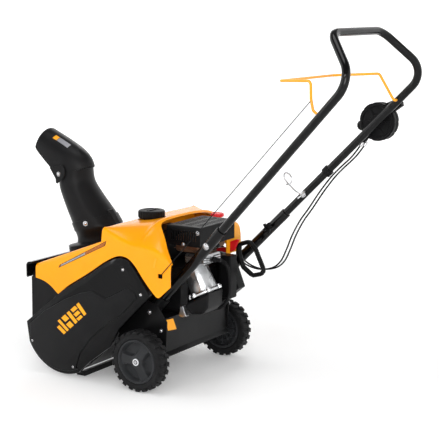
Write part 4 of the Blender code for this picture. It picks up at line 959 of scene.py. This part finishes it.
def recoil_outline(shrink):
    """The recoil housing's outline, drawn in by a distance."""
    big = arc((CRANK_Y, CRANK_Z), 0.088, 80, 270, 24)
    rear = [(0.092, 0.214), (0.148, 0.26), (0.12, 0.33), (0.114, 0.348), (0.09, 0.356)]
    middle = Vector((0.02, 0.29))
    outline = []
    for y, z in big + rear:
        inward = middle - Vector((y, z))
        point = Vector((y, z)) + inward.normalized() * shrink
        outline.append((point.x, point.y))
    return outline


def make_recoil():
    """Recoil housing with a stepped face and a fan of air slots round the crank axis."""
    levels = (
        (0.0, -0.0704), (0.0, -0.106), (0.002, -0.109), (0.012, -0.113), (0.015, -0.1205), (0.0165, -0.122))
    loops = [[(x, y, z) for y, z in recoil_outline(inset)] for inset, x in levels]
    housing = raw_object("recoil_moulding", stacked(loops))
    slots = []
    for k in range(20):
        a = 2 * math.pi * k / 20
        if math.cos(a - 0.2) > 0.8:
            continue
        radial, across = Vector((math.cos(a), math.sin(a))), Vector((-math.sin(a), math.cos(a))) * 0.003
        centre = Vector((CRANK_Y, CRANK_Z))
        loop = [
            centre + radial * 0.032 - across, centre + radial * 0.062 - across * 1.6,
            centre + radial * 0.062 + across * 1.6, centre + radial * 0.032 + across]
        slots.append(prism([(p.x, p.y) for p in loop], -0.118, -0.126))
    cut(housing, joined(*slots))
    placed(housing, "black_plastic", stands_for=("recoil_housing",), sharp=30, bevel=0.0008)
    hub = turned([(0, -0.001), (0.024, -0.001), (0.024, 0.0), (0.022, 0.0018), (0, 0.0022)],
        (-0.122, CRANK_Y, CRANK_Z), (-1, 0, 0), 48)
    piece("recoil_centre", hub, "satin_black", sharp=40)


def make_engine_hose():
    """The breather hose that loops down behind the engine."""
    route = smooth_route([(0.002, 0.13, 0.358), (0.006, 0.156, 0.342), (0.004, 0.164, 0.3),
        (-0.002, 0.156, 0.25), (-0.006, 0.13, 0.216), (-0.004, 0.1, 0.206)], 6)
    piece("breather_hose", swept(route, 0.0052, 18), "rubber")


def make_panel():
    """The yellow panel under the choke knob, bent down at the rear."""
    rows = []
    for y, z in ((0.012, 0.454), (0.05, 0.4525), (0.09, 0.45), (0.104, 0.444), (0.11, 0.43), (0.11, 0.36)):
        rows.append([(-0.143, y, z - 0.014), (-0.1425, y, z - 0.006), (-0.137, y, z),
            (-0.104, y, z + 0.0006), (-0.07, y, z), (-0.0645, y, z - 0.006), (-0.064, y, z - 0.014)])
    piece("rear_panel", shell(rows, 0.0028, False, levels=1), "panel_paint", stands_for=("control_panel",),
        sharp=40, bevel=0.0004)


def make_knobs():
    """The fluted choke knob and the stop lever."""
    def fluted(a, r, along):
        return r - 0.0012 * (0.5 + 0.5 * math.cos(16 * a)) if r > 0.016 else r
    profile = [
        (0, 0), (0.009, 0), (0.009, 0.004), (0.0185, 0.0055), (0.02, 0.008), (0.02, 0.013), (0.018, 0.016),
        (0.012, 0.0172), (0, 0.018)]
    knob = turned(profile, (-0.105, 0.05, 0.456), (0, 0, 1), 96, fluted)
    bar = box((-0.1075, 0.035, 0.47), (-0.1025, 0.065, 0.4745))
    piece("choke_moulding", joined(knob, bar), "red_plastic", body="choke_knob", stands_for=("choke_knob",),
        sharp=40, bevel=0.0005)
    blade = [
        (0.0995, 0.3596), (0.1218, 0.3687), (0.1375, 0.4032), (0.133, 0.4045), (0.1235, 0.401),
        (0.11, 0.395), (0.101, 0.377), (0.08, 0.3735), (0.0641, 0.3707), (0.0612, 0.362), (0.08, 0.3625)]
    lever = prism(blade, -0.0926, -0.082)
    piece("stop_lever_moulding", lever, "red_plastic", body="stop_lever", stands_for=("stop_lever",),
        sharp=40, bevel=0.0009, segments=3)


def make_grip():
    """Soft D-shaped pull handle, ribbed round its outer bar."""
    x = -0.103
    corners = [
        (x, y, z) for y, z in ((0.129, 0.386), (0.165, 0.3975), (0.185, 0.378), (0.2185, 0.309),
        (0.176, 0.2965), (0.143, 0.319), (0.129, 0.358))]
    start = (Vector(corners[0]) + Vector(corners[1])) / 2
    lap = filleted([start, *corners[1:], corners[0], start], 0.014, 6)[:-1]
    dense = []
    for a, b in zip(lap, lap[1:] + lap[:1]):
        parts = max(1, int((b - a).length / 0.0011))
        dense += [a.lerp(b, k / parts) for k in range(parts)]
    bm = bmesh.new()
    rings, count, sides = [], len(dense), 20
    for i, point in enumerate(dense):
        tangent = (dense[(i + 1) % count] - dense[i - 1]).normalized()
        side, up = Vector((1, 0, 0)), tangent.cross(Vector((1, 0, 0)))
        on_bar = point.y > 0.17
        groove = 0.86 + 0.14 * abs(math.sin(math.pi * i / 5)) if on_bar else 1.0
        rings.append([bm.verts.new(
            point + side * 0.009 * groove * math.cos(a) + up * 0.0068 * groove * math.sin(a))
            for a in (2 * math.pi * k / sides for k in range(sides))])
    rings.append(rings[0])
    bridge(bm, rings, closed=True)
    piece("starter_grip_moulding", bm, "black_plastic", body="starter_grip", stands_for=("starter_grip",),
        sharp=60)


# ---- handle
def leg_point(z, sign=1):
    """The point of a handle leg's centreline at a height."""
    y = LEG_REF[1] + (z - LEG_REF[2]) / math.tan(LEG_ANGLE)
    return Vector((sign * (LEG_REF[0] + (z - LEG_REF[2]) * LEG_SPLAY), y, z))


def leg_frame(z, sign):
    """A leg's point at a height, its direction, and the outward direction square to it."""
    point = leg_point(z, sign)
    along = (leg_point(z + 0.1, sign) - point).normalized()
    out = Vector((sign, 0, 0))
    out = (out - along * out.dot(along)).normalized()
    return point, along, out


def flip(p):
    """The same point on the other side."""
    return Vector((-p.x, p.y, p.z))


def make_handle():
    """The bent upper loop in its two notched lower tubes."""
    corners = [leg_point(0.4), KNEE, TOP, flip(TOP), flip(KNEE), leg_point(0.4, -1)]
    tube = swept(filleted(corners, 0.06, 14), UPPER_TUBE_R, 32, wall=TUBE_WALL)
    piece("handle_loop", tube, "tube_black", stands_for=("upper_handle",), sharp=40, bevel=0.0004)
    for side, sign in SIDES:
        route = [leg_point(0.234, sign), leg_point(LEG_REF[2], sign)]
        lower = raw_object("lower_tube_" + side, swept(route, LOWER_TUBE_R, 36,
            wall=LOWER_TUBE_R - UPPER_TUBE_R - 2 * GAP))
        point, along, out = leg_frame(LEG_REF[2], sign)
        up = along.cross(out)
        notch = stacked([[point + along * a + up * b + out * c
            for a, c in ((-0.022, -0.0022), (0.01, -0.0022), (0.01, 0.0022), (-0.022, 0.0022))]
            for b in (-0.03, 0.03)])
        cut(lower, notch)
        placed(lower, "tube_black", stands_for=("lower_handle_" + side,), sharp=30, bevel=0.0005)
        make_handle_bolt(side, sign)


def make_handle_bolt(side, sign):
    """The cross bolt through a leg: domed head outside, lobed knob inside."""
    point, _, out = leg_frame(0.4355, sign)
    reach = LOWER_TUBE_R + GAP
    washer = turned([(0.0038, reach - 0.0003), (0.0098, reach - 0.0003), (0.0098, reach + 0.0008),
        (0.0038, reach + 0.0008)], point, out, 32)
    dome = turned([(0, reach), (0.0084, reach), (0.0086, reach + 0.001), (0.008, reach + 0.0024),
        (0.0062, reach + 0.0039), (0.0034, reach + 0.0047), (0, reach + 0.0049)], point, out, 36)
    shank = turned([(0, -reach - 0.004), (0.0037, -reach - 0.004), (0.0037, reach), (0, reach)], point, out,
        24)
    piece("handle_dome_" + side, joined(washer, dome, shank), "zinc", stands_for=("handle_bolt_" + side,),
        sharp=40)

    def lobed(a, r, along):
        return r * (0.8 + 0.2 * math.cos(5 * a)) if r > 0.012 else r
    knob = turned([(0.004, -reach), (0.008, -reach), (0.008, -reach - 0.005), (0.0165, -reach - 0.008),
        (0.0165, -reach - 0.0165), (0.014, -reach - 0.019), (0.004, -reach - 0.019)], point, out, 80, lobed)
    piece("handle_knob_" + side, knob, "black_plastic", sharp=50)


def make_bail():
    """The bent wire bail between the legs."""
    tube_x = leg_point(BAIL_PIVOT[1]).x
    pin = Vector((tube_x - 0.004, *BAIL_PIVOT))
    arm = Vector((tube_x - UPPER_TUBE_R - 0.016, *BAIL_PIVOT))
    elbow, tip = Vector((0.198, 0.5265, 0.896)), Vector((0.145, 0.408, 0.89))
    hook = [Vector((arm.x, y, z)) for y, z in ((0.544, 0.8105), (0.53, 0.822), (0.524, 0.85))]
    corners = [pin, arm, *hook, elbow, tip, flip(tip), flip(elbow), flip(arm), flip(pin)]
    piece("bail_wire", swept(filleted(corners, 0.01, 7), BAIL_R, 16), "bail_yellow", body="bail",
        stands_for=("bail",))


def make_control():
    """Cable drum housing with moulded rings and ribs, and its crank."""
    y, z = CONTROL_CENTRE.y, CONTROL_CENTRE.z

    def scalloped(a, r, along):
        return r - 0.0016 * max(0.0, math.cos(10 * a)) ** 6 if r > 0.05 else r
    profile = [
        (0, 0), (0.053, 0), (0.055, 0.002), (0.055, 0.014), (0.0535, 0.0155), (0.0535, 0.0185),
        (0.055, 0.02), (0.055, 0.03), (0.053, 0.0332), (0.046, 0.0338), (0.0445, 0.03), (0.03, 0.03),
        (0.0285, 0.0338), (0.016, 0.034), (0, 0.034)]
    drum = turned(profile, (-0.232, y, z), (-1, 0, 0), 120, scalloped)
    inner = turned([(0.05, -0.0002), (0.05, -0.0042), (0.044, -0.0042), (0.0425, -0.001), (0.02, -0.001),
        (0.0185, -0.0048), (0.0, -0.0048), (0, -0.0002)], (-0.232, y, z), (-1, 0, 0), 72)
    ribs = []
    for k in range(6):
        a = math.pi * k / 3
        d, t = Vector((math.cos(a), math.sin(a))), Vector((-math.sin(a), math.cos(a))) * 0.0022
        loop = [
            Vector((y, z)) + d * 0.018 - t, Vector((y, z)) + d * 0.046 - t, Vector((y, z)) + d * 0.046 + t,
            Vector((y, z)) + d * 0.018 + t]
        ribs.append(prism([(p.x, p.y) for p in loop], -0.2315, -0.2285))
    ear = prism([(y + 0.02, z + 0.052), (y + 0.048, z + 0.03), (y + 0.072, z + 0.047),
        (y + 0.07, z + 0.058), (y + 0.052, z + 0.066)], -0.24, -0.256)
    spout = swept([(-0.244, y - 0.034, z - 0.04), (-0.238, y - 0.046, z - 0.062)], 0.0085, 20)
    piece("control_moulding", joined(drum, inner, *ribs, ear, spout), "black_plastic",
        stands_for=("control_housing",), sharp=30, bevel=0.0006)
    x = -0.232 - 0.034 - GAP
    arm_end = Vector((0, -0.072, -0.018))
    hub = turned([(0, 0), (0.014, 0), (0.014, 0.0085), (0.0125, 0.01), (0, 0.01)], (x, y, z), (-1, 0, 0), 40)
    along = arm_end.normalized()
    across = Vector((0, -along.z, along.y)) * 0.008
    loop = [across * 1.4, -across * 1.4, arm_end - across, arm_end + across]
    bar = prism([(y + p.y, z + p.z) for p in loop], x - 0.015, x - 0.0082)

    def fluted(a, r, along):
        return r * (1 - 0.05 * (0.5 + 0.5 * math.cos(12 * a))) if r > 0.012 else r
    knob = turned([(0, 0), (0.013, 0), (0.0155, 0.005), (0.016, 0.019), (0.0145, 0.023), (0.011, 0.024),
        (0, 0.024)], (x - 0.012, y + arm_end.y, z + arm_end.z), (-1, 0, 0), 72, fluted)
    piece("control_crank_moulding", joined(hub, bar, knob), "black_plastic", body="control_crank",
          stands_for=("control_crank",), sharp=35, bevel=0.0008)
    bolt = dome_screw((-0.2272, y, z), (1, 0, 0), 0.006, 0.005, 0.008)
    piece("control_bolt", bolt, "zinc", sharp=40)


CABLE_R = 0.0024
CLUTCH_R = 0.0011
CLUTCH_TOP = Vector((0.1955, 0.524, 0.844))
CLUTCH_SLOT = Vector((0.239, 0.0855, 0.348))
CABLE_POINTS = [
    (-0.233, 0.468, 0.696), (-0.22, 0.442, 0.656), (-0.202, 0.412, 0.622), (-0.1915, 0.3901, 0.5953),
    (-0.188, 0.356, 0.55), (-0.185, 0.323, 0.5), (-0.182, 0.295, 0.46), (-0.178, 0.272, 0.415),
    (-0.176, 0.254, 0.37), (-0.18, 0.233, 0.333), (-0.19, 0.2, 0.308), (-0.2, 0.15, 0.295),
    (-0.208, 0.1, 0.3), (-0.212, 0.05, 0.325)]


def free_cord(route):
    """Work out a cord's path in the frame and its length; nothing is done with them."""
    path = [point + AXLE_SHIFT for point in route]
    length = sum((b - a).length for a, b in zip(path, path[1:]))
    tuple(path[0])


def make_cables():
    """The two chute control cables with their ferrules and clip, and the clutch wire."""
    for name, shift in (("a", -0.0045), ("b", 0.0045)):
        across = Vector((-0.78 * shift, shift, 0))
        route = smooth_route([Vector(p) + across for p in CABLE_POINTS], 5)
        cable = piece("chute_cable_sheath_" + name, swept(route, CABLE_R, 14), "rubber",
            stands_for=("chute_cable_" + name,))
        free_cord(route)
        end = Vector(CABLE_POINTS[0]) + across
        heading = (end - Vector(CABLE_POINTS[1]) - across).normalized()
        ferrule = turned([(0, 0.0), (0.0042, 0.0), (0.0042, 0.014), (0.0034, 0.015), (0, 0.015)],
            end - heading * 0.012, heading, 24)
        piece("cable_ferrule_" + name, ferrule, "zinc", sharp=40)
    foot = CLUTCH_SLOT + Vector((-0.024, -0.008, -0.005))
    corners = [foot, CLUTCH_SLOT, CLUTCH_TOP]
    cable = piece("clutch_wire", swept(corners, CLUTCH_R, 12), "rubber", stands_for=("clutch_cable",))
    free_cord(corners)
    point, along, out = leg_frame(0.612, -1)
    clip = turned([(UPPER_TUBE_R + GAP, -0.009), (UPPER_TUBE_R + 0.0042, -0.009),
        (UPPER_TUBE_R + 0.0042, 0.009), (UPPER_TUBE_R + GAP, 0.009)], point, along, 40)
    piece("cable_clip_band", clip, "black_plastic", stands_for=("cable_clip",), bevel=0.0008)


def make_rope_guide():
    """The wire loop that holds the starter rope, under its wing nut."""
    point, _, out = leg_frame(0.54, -1)
    start = point - out * (UPPER_TUBE_R + GAP)
    nut = hex_head(start, -out, 0.007, 0.006)
    wings = []
    for tilt in (-1, 1):
        tip = start - out * 0.012 + Vector((0, 0.012, 0.012)) * tilt
        wings.append(swept([start - out * 0.002, start - out * 0.006 + Vector((0, 0.006, 0.006)) * tilt,
            tip], 0.0024, 12))
    loop = (
        (-0.17, 0.289, 0.545), (-0.169, 0.274, 0.554), (-0.169, 0.26, 0.566), (-0.168, 0.247, 0.579),
        (-0.168, 0.242, 0.593), (-0.167, 0.248, 0.601), (-0.166, 0.259, 0.599), (-0.165, 0.268, 0.59),
        (-0.163, 0.27, 0.578), (-0.161, 0.264, 0.569), (-0.16, 0.254, 0.568))
    wire = swept(smooth_route([start - out * 0.006, *loop], 5), 0.0022, 14)
    piece("rope_pigtail", joined(nut, *wings, wire), "zinc", stands_for=("rope_guide",), sharp=50)


# ---- chassis details
PAN_REAR = 0.0455        # y of the chassis pan's rear face


def make_bracket_details():
    """Bolts in the chassis brackets and the blank tag on the rear of the pan."""
    for number, (y, z) in enumerate(((-0.0064, 0.2179), (0.0335, 0.1677)), 1):
        piece("bracket_bolt_%d" % number, dome_screw((0.1646, y, z), (1, 0, 0), 0.0052, 0.0042, 0.007),
            "zinc", sharp=40)
    piece("bracket_bolt_3", dome_screw((-0.1646, 0.0501, 0.1832), (-1, 0, 0), 0.0052, 0.0042, 0.007),
        "zinc", sharp=40)
    tag = ((0.16, 0.2), (0.122, 0.1968), (0.105, 0.1615), (0.1474, 0.1664))
    loops = [[(x, y, z) for x, z in tag] for y in (PAN_REAR, PAN_REAR + 0.0006)]
    piece("pan_tag", stacked(loops), "label_orange", bevel=0.0001)


CAD_FINISH = {
    "gloss_black": ("front_lip",),
    # The crankcase's black steel is partly painted shade: it stands for the shade beside the cylinder casing
    # as well as the dark parts there.
    "black_steel": (
        "auger_housing", "side_plate_left", "side_plate_right", "chassis_pan", "bracket_left",
        "bracket_right", "crankcase", "scraper_bar"),
    "zinc": ("idler_arm", "idler_spring"),
    "steel": (
        "auger_shaft", "auger_bearing_left", "auger_bearing_right", "auger_pulley", "engine_pulley",
        "crankshaft", "idler_roller", "axle"),
    "rubber": ("auger_paddle_a", "auger_paddle_b", "drive_belt", "spark_plug", "starter_rope"),
    "black_plastic": ("chute_collar", "fuel_tank", "carburettor_box"),
    "cast_aluminium": ("cylinder_head",),
}


def dress_cad():
    """Materials and softly rounded edges for the CAD nodes that stay in view."""
    for look, names in CAD_FINISH.items():
        for name in names:
            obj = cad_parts[name]
            obj.data.materials.clear()
            obj.data.materials.append(finish(look))
            obj.data.shade_smooth()
            weld = obj.modifiers.new("weld", "WELD")
            weld.merge_threshold = 0.00001
            rounding = obj.modifiers.new("rounding", "BEVEL")
            rounding.width = 0.0006
            rounding.segments = 2
            rounding.limit_method = "ANGLE"
            rounding.angle_limit = math.radians(32)
            obj.modifiers.new("normals", "WEIGHTED_NORMAL")


# ---- studio
FLOOR_PROFILE = ((0.0, 0.0), (4.6, 0.0), (5.2, 0.06), (5.8, 0.35), (6.2, 0.9), (6.4, 1.8), (6.5, 5.0))
FLOOR_STEPS = 64
FLOOR_PLACE = (0, 0.3, -0.0002)
PAPER = (0.9, 0.9, 0.9, 1.0)
# The paper's glow rises between two radii, from the first strength to the second, to keep the backdrop white.
GLOW_RANGE = (1.0, 5.0, 0.16, 0.5)
WORLD_STRENGTH = 0.24
LIGHT_TARGET = Vector((0.0, 0.25, 0.45))
# name, place, size and power in watts
LIGHTS = (
    ("top", (0.3, 0.2, 3.2), (1.4, 1.4), 22.0), ("front_left", (2.4, -2.6, 1.9), (0.4, 1.6), 16.0),
    ("key", (3.4, 2.9, 1.9), (1.4, 1.4), 52.0), ("back", (-3.0, -1.0, 2.6), (1.2, 1.6), 18.0),
    ("strip", (2.6, 0.9, 2.6), (1.8, 0.2), 13.0))
CAMERA_PLACE = (2.90144, 2.23651, 1.08518)
CAMERA_AIM = Vector((-0.827276, -0.534068, -0.174315))
CAMERA_LENS, CAMERA_SENSOR = 99.619, 36.0


def make_paper():
    """Matt white paper that glows a little more towards the backdrop."""
    paper = bpy.data.materials.new("paper")
    paper.use_nodes = True
    tree = paper.node_tree
    shader = tree.nodes["Principled BSDF"]
    shader.inputs["Base Color"].default_value = PAPER
    shader.inputs["Roughness"].default_value = 0.85
    shader.inputs["Emission Color"].default_value = (1.0, 1.0, 1.0, 1.0)
    place = node(tree, "TexCoord").outputs["Object"]
    length = node(tree, "VectorMath", operation="LENGTH")
    tree.links.new(place, length.inputs[0])
    glow = ranged(tree, length.outputs["Value"], *GLOW_RANGE)
    tree.links.new(glow, shader.inputs["Emission Strength"])
    return paper


def make_floor():
    """A round floor that curves up into a backdrop all the way round."""
    bm = bmesh.new()
    turns = [(math.cos(a), math.sin(a)) for a in (2 * math.pi * k / FLOOR_STEPS for k in range(FLOOR_STEPS))]
    rings = []
    for r, z in FLOOR_PROFILE:
        if r == 0:
            rings.append([bm.verts.new((0, 0, z))] * FLOOR_STEPS)
        else:
            rings.append([bm.verts.new((r * c, r * s, z)) for c, s in turns])
    bridge(bm, rings, closed=True)
    mesh = bpy.data.meshes.new("studio_floor")
    bm.to_mesh(mesh)
    bm.free()
    mesh.shade_smooth()
    mesh.materials.append(make_paper())
    floor = bpy.data.objects.new("studio_floor", mesh)
    floor.location = FLOOR_PLACE
    bpy.context.scene.collection.objects.link(floor)


def make_lights():
    """A dim white world and soft area lights that face the machine."""
    world = bpy.data.worlds.new("studio")
    world.use_nodes = True
    background = world.node_tree.nodes["Background"]
    background.inputs["Color"].default_value = (1.0, 1.0, 1.0, 1.0)
    background.inputs["Strength"].default_value = WORLD_STRENGTH
    bpy.context.scene.world = world
    for name, place, size, power in LIGHTS:
        light = bpy.data.lights.new(name, "AREA")
        light.shape = "RECTANGLE"
        light.size, light.size_y = size
        light.energy = power
        lamp = bpy.data.objects.new(name, light)
        lamp.location = place
        lamp.rotation_euler = (LIGHT_TARGET - Vector(place)).to_track_quat("-Z", "Y").to_euler()
        bpy.context.scene.collection.objects.link(lamp)


def set_tone():
    """Plain display tone, so that the paint keeps its colour and the paper stays white."""
    bpy.context.scene.view_settings.view_transform = "Standard"


def make_camera():
    """The photo's view, from behind on the left."""
    view = bpy.data.cameras.new("camera")
    view.lens = CAMERA_LENS
    view.sensor_width = CAMERA_SENSOR
    camera = bpy.data.objects.new("camera", view)
    camera.location = CAMERA_PLACE
    camera.rotation_euler = CAMERA_AIM.to_track_quat("-Z", "Y").to_euler()
    bpy.context.scene.collection.objects.link(camera)
    bpy.context.scene.camera = camera


def main():
    """Studio, CAD finishes and every piece."""
    make_camera()
    make_floor()
    make_lights()
    set_tone()
    dress_cad()
    for side, sign in SIDES:
        make_hub(side, sign)
        make_tyre(side, sign)
    make_hood()
    make_belt_cover()
    make_chute_tube()
    make_deflector()
    make_fuel_cap()
    make_casing()
    make_muffler()
    make_guard()
    make_recoil()
    make_engine_hose()
    make_panel()
    make_knobs()
    make_grip()
    make_handle()
    make_bail()
    make_control()
    make_cables()
    make_rope_guide()
    make_bracket_details()


main()
